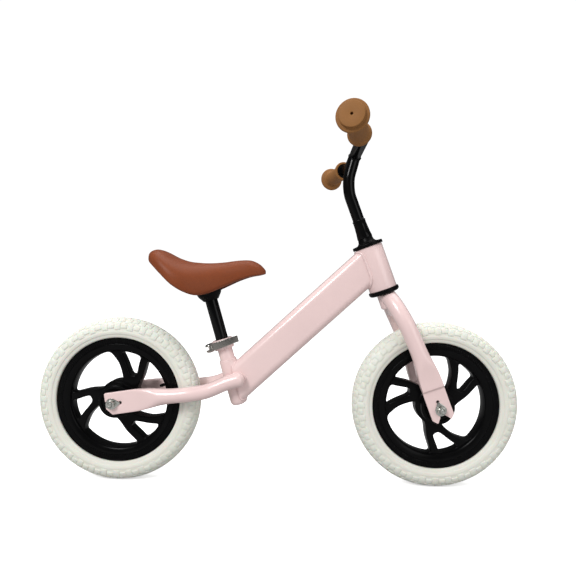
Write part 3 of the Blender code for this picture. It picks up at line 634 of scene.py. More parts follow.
def plated_metal(name, colour, roughness, grain, rub, direction=(1, 1, 1)):
    """Plated steel with faint drawing lines, cloudy plating and brighter edges."""
    metal = Finish(name)
    plate = metal.group(grain, Scale=1300.0, Cloud_Scale=260.0)
    edge = metal.group(rub, Amount=0.6, Patch_Scale=400.0)
    mapping = metal.tree.nodes.new("ShaderNodeMapping")
    mapping.inputs["Scale"].default_value = direction
    metal.tree.links.new(place_in(metal.tree), mapping.inputs["Vector"])
    lines = noise(metal.tree, mapping.outputs["Vector"], 900.0, 3.0, 0.7)
    metal.shader.inputs["Metallic"].default_value = 1.0
    body = mixed(metal.tree, plate.outputs["Cloud"], darker(colour, 0.82), tuple(colour))
    metal.feed("Base Color", mixed(metal.tree, edge.outputs["Mask"], body, lighter(colour, 1.25)))
    metal.feed("Roughness", spread(metal.tree, plate.outputs["Cloud"], 0.0, 1.0, roughness * 0.7, roughness * 1.4))
    metal.bump(lines, 0.00003, 0.4)
    return metal.material


def studio_floor(name, colour):
    """Smooth white studio floor, seen white but throwing little light back up."""
    floor = Finish(name, Specular_IOR_Level=0.1, Emission_Color=(1.0, 1.0, 1.0, 1.0))
    place = place_in(floor.tree)
    cloud = noise(floor.tree, place, 1.3, 2.0)
    seen = floor.tree.nodes.new("ShaderNodeLightPath").outputs["Is Camera Ray"]
    white = mixed(floor.tree, cloud, darker(colour, 0.995), tuple(colour))
    floor.feed("Base Color", mixed(floor.tree, seen, darker(colour, 0.38), white))
    floor.feed("Emission Strength", spread(floor.tree, seen, 0.0, 1.0, 0.0, 0.50))
    floor.feed("Roughness", spread(floor.tree, cloud, 0.0, 1.0, 0.85, 0.95))
    return floor.material


def finish(name):
    """A finish that bike.mix_finishes has made."""
    found = bpy.data.materials.get(name)
    if found is None:
        raise RuntimeError(f"the finish {name} has not been mixed")
    return found


# ---- settings -----------------------------------------------------------------------------------------------------


def length(label, about, value):
    """A size that the panel shows with its unit."""
    return bpy.props.FloatProperty(name=label, description=about, default=value, unit="LENGTH", precision=4)


def colour(label, about, value):
    """A colour that the panel shows as a swatch."""
    return bpy.props.FloatVectorProperty(name=label, description=about, default=value, subtype="COLOR", size=3,
                                         min=0.0, max=1.0)


class FinishSettings(bpy.types.PropertyGroup):
    paint: colour("Frame paint", "Colour of the frame and fork", (0.800, 0.605, 0.590))
    black_paint: colour("Black paint", "Colour of the handlebar and seatpost", (0.0025, 0.0025, 0.0027))
    plastic: colour("Black plastic", "Colour of the rims and headset", (0.0030, 0.0030, 0.0032))
    foam: colour("Tyre foam", "Colour of the tyres", (0.780, 0.776, 0.708))
    foam_shade: colour("Tyre foam patches", "Colour of the tyres' slightly yellowed patches", (0.735, 0.728, 0.648))
    leather: colour("Saddle skin", "Colour of the saddle", (0.222, 0.052, 0.015))
    # painted shade in the saddle's fine creases
    crease_shade: colour("Saddle creases", "Colour in the fine creases of the saddle's skin", (0.11, 0.030, 0.015))
    rubber: colour("Grip rubber", "Colour of the grips", (0.275, 0.123, 0.039))
    zinc: colour("Zinc plating", "Colour of the nuts, washers and axles", (0.66, 0.67, 0.63))
    chrome: colour("Chrome", "Colour of the seat clamp's lever", (0.37, 0.355, 0.33))
    floor: colour("Floor", "Colour of the studio floor", (0.97, 0.97, 0.97))


class TyreSettings(bpy.types.PropertyGroup):
    blocks: bpy.props.IntProperty(name="Blocks", description="Tread blocks round the tyre in each row", default=72)
    tread: length("Tread depth", "How far the blocks stand out of the tyre", 0.0010)
    groove: length("Groove", "Width of the grooves between blocks", 0.0009)


class RimSettings(bpy.types.PropertyGroup):
    ribs: bpy.props.IntProperty(name="Ribs", description="Short ribs round each face of the rim", default=180)
    rib_height: length("Rib height", "How far a rib stands out of its band", 0.0012)
    edge: length("Spoke rounding", "Rounding of the spokes' edges", 0.0022)


class FrameSettings(bpy.types.PropertyGroup):
    bead: length("Weld bead", "Radius of the weld beads between the tubes", 0.0024)
    ripple: length("Bead ripple", "Distance between ripples along a bead", 0.0027)


class BarSettings(bpy.types.PropertyGroup):
    stem_bend: length("Stem bend", "Radius of the stem's bend", 0.087)
    bar_bend: length("Bar bend", "Radius of the bar's two bends", 0.070)


class SaddleSettings(bpy.types.PropertyGroup):
    fill: bpy.props.FloatProperty(name="Fill", description="How firm the padding is", default=0.85, min=0.0, max=1.0)


class StageSettings(bpy.types.PropertyGroup):
    key: bpy.props.FloatProperty(name="Key light", description="Power of the main soft light", default=37.0)
    top: bpy.props.FloatProperty(name="Top light", description="Power of the overhead soft light", default=22.0)
    fill: bpy.props.FloatProperty(name="Fill light", description="Power of the low fill light", default=7.0)
    lens: bpy.props.FloatProperty(name="Lens", description="Focal length of the camera in mm", default=27.87)


# ---- wheels -------------------------------------------------------------------------------------------------------


TREAD_ROWS = ((0.0066, 0.0172, 0.5), (0.0066, 0.0200, 1.5), (0.0190, TREAD_EDGE, 0.0), (0.0218, 0.0300, 1.0))


def tyre_skin():
    """Half of the tyre's outer section, each point as (arc length from the crown, (radius, offset), normal)."""
    power = 2.15
    points = []
    for index in range(65):
        angle = math.radians(90 * index / 64)
        points.append(Vector((TYRE_WIDEST + TYRE_HALF_HEIGHT * abs(math.cos(angle)) ** (2 / power),
                              TYRE_HALF_WIDTH * abs(math.sin(angle)) ** (2 / power))))
    for radius, offset in ((0.1235, 0.0211), (0.1210, 0.0208), (0.1180, 0.0203), (0.1150, 0.0194)):
        points.append(Vector((radius, offset)))
    table, travelled = [], 0.0
    for index, point in enumerate(points):
        before = points[max(index - 1, 0)]
        heading = (points[min(index + 1, len(points) - 1)] - before).normalized()
        travelled += (point - before).length
        table.append((travelled, point, Vector((-heading.y, heading.x)) * -1))
    return table


def on_tyre(table, arc, lift):
    """The point of the tyre's section at an arc length from the crown, lifted off the skin."""
    size = abs(arc)
    index = 1
    while index < len(table) - 1 and table[index][0] < size:
        index += 1
    (start, first, first_normal), (end, second, second_normal) = table[index - 1], table[index]
    share = (size - start) / (end - start)
    point = first.lerp(second, share) + first_normal.lerp(second_normal, share).normalized() * lift
    return point.x, math.copysign(point.y, arc) if arc else 0.0


def tread_row(table, low, high, settings, shift, every=1):
    """One row of blocks round the tyre between two arc lengths from the crown."""
    pitch = FULL_TURN / settings.blocks
    half_turn = 0.5 * pitch - 0.5 * settings.groove / TREAD_RADIUS
    half_run = half_turn * TREAD_RADIUS
    bm = block((low, -half_run, -0.0004), (high, half_run, settings.tread))
    uprights = [edge for edge in bm.edges if abs(edge.verts[0].co.z - edge.verts[1].co.z) > 0.0005]
    rounded(bm, uprights, 0.0006)
    tops = [edge for edge in bm.edges if all(vert.co.z > settings.tread - 1e-6 for vert in edge.verts)]
    rounded(bm, tops, 0.0005)
    cuts = max(1, round((high - low) / 0.0045))
    for index in range(1, cuts):
        bmesh.ops.bisect_plane(bm, geom=everything(bm), dist=1e-7, plane_no=(1, 0, 0),
                               plane_co=(low + (high - low) * index / cuts, 0, 0))
    for vert in bm.verts:
        radius, offset = on_tyre(table, vert.co.x, vert.co.z - settings.tread)
        turn = vert.co.y / TREAD_RADIUS + shift * pitch
        vert.co = (radius * math.cos(turn), radius * math.sin(turn), offset)
    return repeated_round(bm, settings.blocks // every)


def tyre_carcass(table, depth):
    """The tyre's smooth body: sunk under the tread, with a moulded step above the rim."""
    half = []
    for index in range(25):
        arc = index * 0.0016
        sink = depth * ease(1, 0, (arc - TREAD_EDGE) / 0.0025)
        radius, offset = on_tyre(table, arc, -sink)
        half.append((radius, offset))
    half += [(0.1172, 0.0199, 0.0006), (0.1163, 0.0188, 0.0006), (0.1128, 0.0180), (0.1112, 0.0172, 0.0008),
             (0.1104, 0.0160, 0.0005), (0.1103, 0.0105), (0.1058, 0.0105)]
    return turned(both_faces(half, 1), steps=160)


class BIKE_OT_build_tyres(bpy.types.Operator):
    """Build both foam tyres with their rows of tread blocks"""
    bl_idname = "bike.build_tyres"
    bl_label = "Tyres"

    def execute(self, context):
        settings = context.scene.bike_tyres
        table = tyre_skin()
        for word, axle in (("rear", REAR_AXLE), ("front", FRONT_AXLE)):
            parts = [tyre_carcass(table, settings.tread), tread_row(table, -0.0050, 0.0050, settings, 0.0)]
            for side in (-1, 1):
                for low, high, shift in TREAD_ROWS:
                    parts.append(tread_row(table, *sorted((side * low, side * high)), settings, shift, 2))
            tyre = moved(joined(*parts), wheel_frame(axle))
            bmesh.ops.recalc_face_normals(tyre, faces=tyre.faces)
            add_piece(word + "_foam_tyre", tyre, "cellular_foam", word + "_wheel", [word + "_tyre"], sharp=48)
        return {"FINISHED"}


def polar(radius, degrees):
    """A point of the wheel's face as seen from the bike's right side."""
    angle = math.radians(degrees)
    return Vector((radius * math.cos(angle), -radius * math.sin(angle), 0))


def eased_outline(outline, passes):
    """A closed outline, evenly divided and with its corners relaxed into curves."""
    bm = bmesh.new()
    verts = linked(bm, resampled(outline, 0.0011))
    for _ in range(passes):
        bmesh.ops.smooth_vert(bm, verts=verts, factor=0.5, use_axis_x=True, use_axis_y=True, use_axis_z=True)
    eased = [vert.co.copy() for vert in verts]
    bm.free()
    return eased


def spoke_openings():
    """The wide opening behind one forked spoke and the slot inside its fork, as outlines."""
    leading = smooth_route([polar(SPOKE_FLOOR, 17), polar(0.042, 20), polar(0.064, 30), polar(0.084, 40)], 6)
    rim_arc = [polar(0.0862, 44 + 2.5 * step) for step in range(27)]
    trailing = smooth_route([polar(0.0845, 113), polar(0.077, 111), polar(0.058, 103), polar(0.040, 93),
                             polar(SPOKE_FLOOR, 80)], 6)
    hub_arc = [polar(SPOKE_FLOOR, 70 - 5 * step) for step in range(10)]
    wide = eased_outline(leading + rim_arc + trailing + hub_arc, 14)
    lower = smooth_route([polar(0.0525, -6.5), polar(0.064, -2.2), polar(0.074, 0.8), polar(0.0838, 2.0)], 4)
    outer = [polar(0.0850, 6 + 3 * step) for step in range(7)]
    upper = smooth_route([polar(0.0832, 27.5), polar(0.075, 23.6), polar(0.065, 18.7), polar(0.055, 12.5),
                          polar(0.0475, 4)], 4)
    slot = eased_outline(lower + outer + upper, 12)
    return wide, slot


def spoke_web(spoke_turn, edge):
    """The wheel's three forked spokes as one plate, thinner towards the rim, with rounded edges."""
    bm = bmesh.new()
    bmesh.ops.create_circle(bm, cap_ends=False, segments=120, radius=0.0890)
    bmesh.ops.create_circle(bm, cap_ends=False, segments=60, radius=0.0270)
    for index in range(3):
        third = Matrix.Rotation(-spoke_turn - index * FULL_TURN / 3, 4, "Z")
        for outline in spoke_openings():
            linked(bm, [third @ point for point in outline])
    bmesh.ops.triangle_fill(bm, use_beauty=True, use_dissolve=False, edges=bm.edges[:], normal=(0, 0, 1))
    floor = bm.faces[:]
    grown = bmesh.ops.extrude_face_region(bm, geom=floor, use_keep_orig=True)["geom"]
    bmesh.ops.delete(bm, geom=floor, context="FACES_ONLY")
    top = only(grown, bmesh.types.BMFace)
    bmesh.ops.translate(bm, vec=(0, 0, 0.0100), verts=only(grown, bmesh.types.BMVert))
    for face in top:
        if face.normal.z < 0:
            face.normal_flip()
    spoke_edge = [math.radians(90 * step / 4) for step in range(5)]
    for start, end in zip(spoke_edge, spoke_edge[1:]):
        bmesh.ops.inset_region(bm, faces=top, use_boundary=True, use_even_offset=True,
                               thickness=edge * (math.cos(start) - math.cos(end)),
                               depth=edge * (math.sin(end) - math.sin(start)))
    for vert in bm.verts:
        radius = math.hypot(vert.co.x, vert.co.y)
        vert.co.z *= (0.0128 - 0.0034 * (radius - 0.030) / 0.056) / (0.0100 + edge)
    bmesh.ops.mirror(bm, geom=everything(bm), matrix=Matrix(), merge_dist=0.00001, axis="Z")
    bmesh.ops.remove_doubles(bm, verts=bm.verts, dist=0.000005)
    bmesh.ops.recalc_face_normals(bm, faces=bm.faces)
    return bm


def rim_ring():
    """The channel that holds the tyre, with a shallow band for the ribs on each face."""
    half = [(0.1062, 0.0106), (0.1082, 0.0118, 0.0008), (0.1099, 0.0126, 0.0006), (0.1099, 0.0150, 0.0008),
            (0.1084, 0.0150, 0.0003), (0.1080, 0.0143, 0.0002), (0.0990, 0.0143, 0.0002), (0.0984, 0.0150, 0.0003),
            (0.0948, 0.0150, 0.0012), (0.0882, 0.0132, 0.0018), (0.0864, 0.0105, 0.0012)]
    return turned(both_faces(half), steps=192)


def rim_ribs(settings):
    """The fine ribs in the band on both faces of the rim."""
    rib = block((0.0990, -0.0008, 0.0138), (0.1081, 0.0008, 0.0143 + settings.rib_height), 0.00035, 1)
    bmesh.ops.mirror(rib, geom=everything(rib), matrix=Matrix(), merge_dist=0, axis="Z")
    bmesh.ops.recalc_face_normals(rib, faces=rib.faces)
    return repeated_round(rib, settings.ribs)


def wheel_hub():
    """The hub's two bosses, each with a ring groove round its bearing seat."""
    half = [(HUB_RADIUS + 0.0060, 0.0100), (HUB_RADIUS + 0.0035, 0.0126, 0.0015), (HUB_RADIUS, 0.0150, 0.0016),
            (HUB_RADIUS, HUB_HALF_WIDTH, 0.0016), (0.0232, HUB_HALF_WIDTH, 0.0005), (0.0224, 0.0278, 0.0006),
            (0.0162, 0.0278, 0.0006), (0.0154, HUB_HALF_WIDTH, 0.0005),
            (BEARING_RADIUS + 0.0002, HUB_HALF_WIDTH, 0.0004), (BEARING_RADIUS + 0.0002, 0.0227),
            (0.0075, 0.0227)]
    return turned(both_faces(half))


class BIKE_OT_build_rims(bpy.types.Operator):
    """Build both moulded wheels: ribbed rim, forked spokes, hub and valve stub"""
    bl_idname = "bike.build_rims"
    bl_label = "Rims"

    def execute(self, context):
        settings = context.scene.bike_rims
        wheels = (("rear", REAR_AXLE, 60.7, 17.5), ("front", FRONT_AXLE, 33.6, 105.0))
        for word, axle, spoke_turn, stub_turn in wheels:
            place = wheel_frame(axle)
            web = spoke_web(math.radians(spoke_turn), settings.edge)
            wheel = moved(joined(rim_ring(), rim_ribs(settings), web, wheel_hub()), place)
            add_piece(word + "_moulded_wheel", wheel, "rim_plastic", word + "_wheel", [word + "_rim"], sharp=38)
            stub = turned([(0, 0.0740), (0.0024, 0.0740, 0.0005), (0.0024, 0.0762, 0.0003), (0.0029, 0.0768, 0.0003),
                           (0.0029, 0.0830, 0.0004), (0.0040, 0.0838, 0.0004), (0.0040, 0.0870), (0, 0.0870)],
                          steps=32, closed=False)
            outward = Matrix.Rotation(-math.radians(stub_turn), 4, "Z") @ Matrix.Rotation(QUARTER_TURN, 4, "Y")
            add_piece(word + "_valve_stub", moved(stub, place @ outward), "rim_plastic", word + "_wheel",
                      [word + "_lock_plug"])
            for side, hand in RIGHT_LEFT:
                race = turned([(AXLE_BORE, 0.0231), (0.0109, 0.0231), (0.0109, 0.0297, 0.0004),
                               (0.0097, 0.0297, 0.0003), (0.0095, 0.0291, 0.0002), (0.0064, 0.0291, 0.0002),
                               (0.0062, 0.0297, 0.0003), (AXLE_BORE, 0.0297, 0.0003)], steps=64)
                flip = Matrix() if side > 0 else Matrix.Rotation(math.pi, 4, "X")
                add_piece(f"{word}_wheel_bearing_{hand}", moved(race, place @ flip), "zinc_plate", word + "_wheel",
                          [f"{word}_bearing_{hand}"])
        return {"FINISHED"}


# ---- axles --------------------------------------------------------------------------------------------------------


def hex_nut(low, high):
    """A chamfered hexagon nut with a countersunk thread."""
    body = bmesh.new()
    bmesh.ops.create_circle(body, cap_ends=True, segments=6, radius=0.0075)
    grown = bmesh.ops.extrude_face_region(body, geom=body.faces[:])["geom"]
    bmesh.ops.translate(body, vec=(0, 0, high - low), verts=only(grown, bmesh.types.BMVert))
    bmesh.ops.translate(body, vec=(0, 0, low), verts=body.verts)
    bmesh.ops.recalc_face_normals(body, faces=body.faces)
    cone = turned([(0, low - 0.0001), (0.0066, low - 0.0001), (0.0076, low + 0.0007), (0.0076, high - 0.0009),
                   (0.0064, high + 0.0001), (0, high + 0.0001)], steps=48, closed=False)
    nut = carved(body, cone, "INTERSECT")
    bore = turned([(0, low - 0.001), (0.0041, low - 0.001), (0.0041, high - 0.0006), (0.0048, high + 0.0005),
                   (0, high + 0.0005)], steps=40, closed=False)
    return soften(carved(nut, bore), 0.00018, 35, 1)


def axle_rod():
    """The axle with its threaded, chamfered and centre-drilled ends."""
    half = [(AXLE_RADIUS, 0.0), (AXLE_RADIUS, 0.0360)]
    height = 0.0365
    while height < AXLE_HALF_LENGTH - 0.0018:
        half += [(AXLE_RADIUS, height), (AXLE_RADIUS - 0.00045, height + 0.0005)]
        height += 0.0010
    half += [(AXLE_RADIUS, AXLE_HALF_LENGTH - 0.0010), (AXLE_RADIUS - 0.0008, AXLE_HALF_LENGTH),
             (0.0013, AXLE_HALF_LENGTH), (0, AXLE_HALF_LENGTH - 0.0014)]
    return turned(both_faces(half, 1), steps=40, closed=False)


def tab_washer(turn):
    """A safety washer drawn out to a tab whose tip is bent into the dropout's small hole."""
    body, tab, reach = 0.0096, 0.0025, 0.0124
    spread_angle = math.acos((body - tab) / reach)
    outline = []
    for index in range(33):
        angle = turn + spread_angle + (FULL_TURN - 2 * spread_angle) * index / 32
        outline.append((body * math.cos(angle), body * math.sin(angle)))
    for index in range(9):
        angle = turn - spread_angle + 2 * spread_angle * index / 8
        outline.append((reach * math.cos(turn) + tab * math.cos(angle),
                        reach * math.sin(turn) + tab * math.sin(angle)))
    low = DROPOUT_OUTER + FIT_GAP
    washer = slab(outline, low, low + 0.0013)
    washer = soften(carved(washer, plug(AXLE_BORE, low - 0.002, low + 0.004, 40)), 0.00025, 60)
    tip = block((TAB_HOLE_OFFSET - 0.0022, -0.0012, low - 0.0030), (TAB_HOLE_OFFSET - 0.0009, 0.0012, low + 0.0006),
                0.0003)
    return joined(washer, moved(tip, Matrix.Rotation(turn, 4, "Z")))


class BIKE_OT_build_axles(bpy.types.Operator):
    """Build both axles with their spacers, safety washers and nuts"""
    bl_idname = "bike.build_axles"
    bl_label = "Axles and nuts"

    def execute(self, context):
        head_angle = math.atan2(-JOINTS["steering_turn"]["axis"][0], JOINTS["steering_turn"]["axis"][2])
        for word, axle, tab_turn, body in (("rear", REAR_AXLE, STAY_SLOPE, "frame"),
                                           ("front", FRONT_AXLE, QUARTER_TURN + head_angle, "steering")):
            place = wheel_frame(axle)
            add_piece(word + "_threaded_axle", moved(axle_rod(), place), "zinc_plate", body, [word + "_axle"])
            for side, hand in RIGHT_LEFT:
                facing = place if side > 0 else place @ Matrix.Rotation(math.pi, 4, "X")
                inner = DROPOUT_OUTER - DROPOUT_THICKNESS - FIT_GAP
                sleeve = turned([(AXLE_BORE, 0.0310), (0.0075, 0.0310, 0.0004), (0.0075, inner, 0.0004),
                                 (AXLE_BORE, inner)], steps=48)
                add_piece(f"{word}_hub_spacer_{hand}", moved(sleeve, facing), "zinc_plate", body,
                          [f"{word}_spacer_{hand}"])
                washer = tab_washer(-side * tab_turn)
                add_piece(f"{word}_safety_washer_{hand}", moved(washer, facing), "bright_zinc", body,
                          [f"{word}_washer_{hand}"])
                nut = hex_nut(DROPOUT_OUTER + 0.0019, DROPOUT_OUTER + 0.0084)
                add_piece(f"{word}_hex_nut_{hand}", moved(nut, facing), "bright_zinc", body, [f"{word}_nut_{hand}"])
        return {"FINISHED"}


# ---- frame --------------------------------------------------------------------------------------------------------


def meet_round_tube(start, direction, tube, radius):
    """Where a line first meets a round tube, or None."""
    local = tube.inverted() @ start
    way = tube.inverted().to_3x3() @ direction
    a = way.x ** 2 + way.y ** 2
    b = 2 * (local.x * way.x + local.y * way.y)
    c = local.x ** 2 + local.y ** 2 - radius ** 2
    root = b * b - 4 * a * c
    if root < 0:
        return None
    return start + direction * ((-b - math.sqrt(root)) / (2 * a))


def down_tube_section():
    """The down tube's rounded section, as points across its axis."""
    corners = [(share * DOWN_HALF_HEIGHT, side * DOWN_HALF_WIDTH, 0) for side in (1, -1)
               for share in (side, 0, -side)]
    return filleted(corners, DOWN_CORNER, 10, closed=True)


def down_tube_ends(section, head_radius, seat_radius):
    """Each point of the section carried up to the head tube and down to the seat tube."""
    up = DOWN.to_3x3() @ Vector((0, 0, 1))
    tops, feet = [], []
    seat_inverse = SEAT.inverted()
    for point in section:
        middle = DOWN @ point
        tops.append(meet_round_tube(middle, up, HEAD, head_radius))
        foot = meet_round_tube(middle, -up, SEAT, seat_radius)
        local, way = seat_inverse @ middle, seat_inverse.to_3x3() @ -up
        level = middle - up * ((DOWN_FOOT_PLANE - local.x) / way.x)
        if foot is None or (seat_inverse @ foot).x < DOWN_FOOT_PLANE:
            foot = level
        feet.append(foot)
    return tops, feet


def build_down_tube():
    """The main tube, mitred to the head tube and closed round the seat tube."""
    section = down_tube_section()
    up = DOWN.to_3x3() @ Vector((0, 0, 1))
    tops, feet = down_tube_ends(section, HEAD_TUBE_RADIUS - 0.0008, SEAT_TUBE_RADIUS - 0.0006)
    necks, _ = down_tube_ends(section, HEAD_TUBE_RADIUS + 0.0060, SEAT_TUBE_RADIUS)
    bm = bmesh.new()
    index_of = bm.verts.layers.int.new("place")
    for index, vert in enumerate(linked(bm, feet)):
        vert[index_of] = index
    edges = first_edges = bm.edges[:]
    rings = [[foot + up * lift for foot in feet] for lift in (0.0035, 0.008)]
    rings += [[foot.lerp(neck, share) for foot, neck in zip(feet, necks)] for share in (0.25, 0.5, 0.75)]
    for places in rings + [necks, tops]:
        ring, edges = grown_ring(bm, edges)
        for vert in ring:
            vert.co = places[vert[index_of]]
    bmesh.ops.edgeloop_fill(bm, edges=first_edges)
    bmesh.ops.edgeloop_fill(bm, edges=edges)
    bmesh.ops.recalc_face_normals(bm, faces=bm.faces)
    return bm


def tuck(point, lift):
    """A point of the down tube's foot drawn in towards the seat tube's side."""
    local = SEAT.inverted() @ point
    reach = SEAT_TUBE_RADIUS + 0.0008 + lift
    away = math.hypot(local.x, local.y)
    if away > reach:
        local.x *= reach / away
        local.y *= reach / away
    return SEAT @ local


def resampled(route, spacing, loop=True):
    """The same route with evenly spaced points."""
    points = list(route) + ([route[0]] if loop else [])
    lengths = [(b - a).length for a, b in zip(points, points[1:])]
    count = max(8, round(sum(lengths) / spacing))
    result, index, passed = [], 0, 0.0
    for step in range(count if loop else count + 1):
        target = sum(lengths) * step / count
        while index < len(lengths) - 1 and passed + lengths[index] < target:
            passed += lengths[index]
            index += 1
        share = (target - passed) / lengths[index] if lengths[index] else 0
        result.append(points[index].lerp(points[index + 1], min(share, 1)))
    return result


def round_route(tube, radius, height):
    """A round line about a tube's axis."""
    turns = [FULL_TURN * step / 60 for step in range(60)]
    return [tube @ Vector((radius * math.cos(turn), radius * math.sin(turn), height)) for turn in turns]


def weld_bead(route, settings, size=1.0, loop=True):
    """A weld bead along a route: a low rounded ridge with the ripples of its passes."""
    even = resampled(route, settings.ripple / 5, loop)
    centre = sum(even, Vector()) / len(even)
    radius = settings.bead * size

    def thickness(index):
        ends = 1.0 if loop else min(1.0, 0.35 + min(index, len(even) - 1 - index) / 8)
        return radius * ends * (1 + 0.030 * math.cos(FULL_TURN * index / 5) + 0.025 * math.sin(index * 0.37))

    if loop:
        return drawn(tube_stations(even, thickness, centre, True), 12, True)
    return drawn(tube_stations(even, thickness, Vector((0, 1, 0))), 12)


def stay_station(along, side):
    """The chainstay's centre and section at a distance forward of the rear axle."""
    forward = Vector((math.cos(STAY_SLOPE), 0, math.sin(STAY_SLOPE)))
    up = Vector((-math.sin(STAY_SLOPE), 0, math.cos(STAY_SLOPE)))
    plate = DROPOUT_OUTER - DROPOUT_THICKNESS / 2
    round_share = (along - 0.030) / 0.055
    sideways = ease(plate, 0.0375, round_share)
    sideways = ease(sideways, 0.0275, (along - 0.120) / 0.085)
    half_width = ease(DROPOUT_THICKNESS / 2, STAY_RADIUS, round_share)
    half_height = ease(DROPOUT_HALF_HEIGHT, STAY_RADIUS, (along - 0.035) / 0.075)
    rise = ease(0, -0.0040, (along - 0.060) / 0.085) + ease(0, 0.0110, (along - 0.155) / 0.062)
    centre = REAR_AXLE + forward * along + up * rise + Vector((0, side * sideways, 0))
    return (centre, Vector((0, 1, 0)), up, half_width, half_height, ease(9, 2, round_share))


def domed(station, share):
    """A station drawn in as part of a domed end, the share being how far along the dome it lies."""
    centre, across, up, half_width, half_height, power = station
    size = math.sqrt(max(0.0, 1 - share * share))
    return (centre, across, up, half_width * size, half_height * size, power)


def dropout_tools(place, side):
    """The open slot for the axle and the small hole for the washer's tab, as cutting shapes."""
    half = AXLE_RADIUS + 0.0005
    outline = [(0.05, half), (0.05, -half)]
    for index in range(17):
        angle = math.pi * (1.5 - index / 16)
        outline.append((half * math.cos(angle), half * math.sin(angle)))
    across = Matrix.Rotation(QUARTER_TURN, 4, "X")
    ends = (-0.06, -0.01) if side > 0 else (0.01, 0.06)
    slot = moved(slab(outline, *ends), place @ across)
    hole = moved(plug(0.0029, *ends, 28), place @ Matrix.Translation((-TAB_HOLE_OFFSET, 0, 0)) @ across)
    return slot, hole


def trimmed(bm, point, normal):
    """A closed shape with all that lies beyond a plane cut off."""
    cut = bmesh.ops.bisect_plane(bm, geom=everything(bm), dist=1e-7, plane_co=point, plane_no=normal,
                                 clear_outer=True)["geom_cut"]
    bmesh.ops.edgeloop_fill(bm, edges=only(cut, bmesh.types.BMEdge))
    bmesh.ops.recalc_face_normals(bm, faces=bm.faces)
    return bm


def build_chainstay(side):
    """One chainstay: a pressed and slotted dropout that rounds out into a bent tube with a domed front end."""
    distances = [-0.0105, -0.006, 0.0, 0.008, 0.016, 0.024]
    distances += [0.030 + 0.0024 * step for step in range(24)]
    distances += [0.090 + 0.006 * step for step in range(22)]
    stations = [stay_station(distance, side) for distance in distances if distance < 0.2195]
    for step in range(10):
        share = math.sin(math.radians(9.4 * step))
        stations.append(domed(stay_station(0.2200 + 0.0100 * share, side), share * 0.999))
    stay = drawn(stations, 56)
    place = Matrix.Translation(REAR_AXLE) @ Matrix.Rotation(-STAY_SLOPE, 4, "Y")
    turn = place.to_3x3()
    trimmed(stay, place @ Vector((-0.0102, 0, -0.0080)), turn @ Vector((-0.76, 0, -0.65)))
    trimmed(stay, place @ Vector((-0.0092, 0, 0.0190)), turn @ Vector((-0.70, 0, 0.70)))
    backwards = Matrix.Translation(REAR_AXLE) @ Matrix.Rotation(math.pi - STAY_SLOPE, 4, "Y")
    for tool in dropout_tools(backwards, side):
        stay = carved(stay, tool)
    return soften(stay, 0.0005, 52)


def depth_in_frame(point):
    """How far inside the seat tube or down tube a point lies: positive inside."""
    local = SEAT.inverted() @ point
    in_seat = SEAT_TUBE_RADIUS - math.hypot(local.x, local.y)
    flat = DOWN.inverted() @ point
    across = max(abs(flat.x) - DOWN_HALF_HEIGHT, abs(flat.y) - DOWN_HALF_WIDTH)
    in_down = -across if local.x > 0.0045 else -1.0
    return max(in_seat, in_down)


def stay_joint(side):
    """The line where a chainstay's front end meets the seat tube and down tube."""
    upper, lower = [], []
    for distance in (0.160 + 0.0015 * step for step in range(47)):
        station = domed(stay_station(distance, side), max(0.0, (distance - 0.2200) / 0.0100))
        centre, across, up, half_width, half_height, _ = station
        for line, towards in ((upper, 1), (lower, -1)):
            outside = centre + across * side * half_width
            if depth_in_frame(outside) > 0:
                continue
            previous = None
            for step in range(1, 37):
                angle = math.radians(5 * step)
                point = centre + across * side * half_width * math.cos(angle) \
                    + up * towards * half_height * math.sin(angle)
                if depth_in_frame(point) > 0:
                    line.append(point if previous is None else (point + previous) / 2)
                    break
                previous = point
    tip = stay_station(0.2305, side)
    nose = tip[0] + Vector((0, side * (DOWN_HALF_WIDTH - abs(tip[0].y)), 0))
    return smooth_route(upper[::3] + [nose] + lower[::-1][::3], 3)


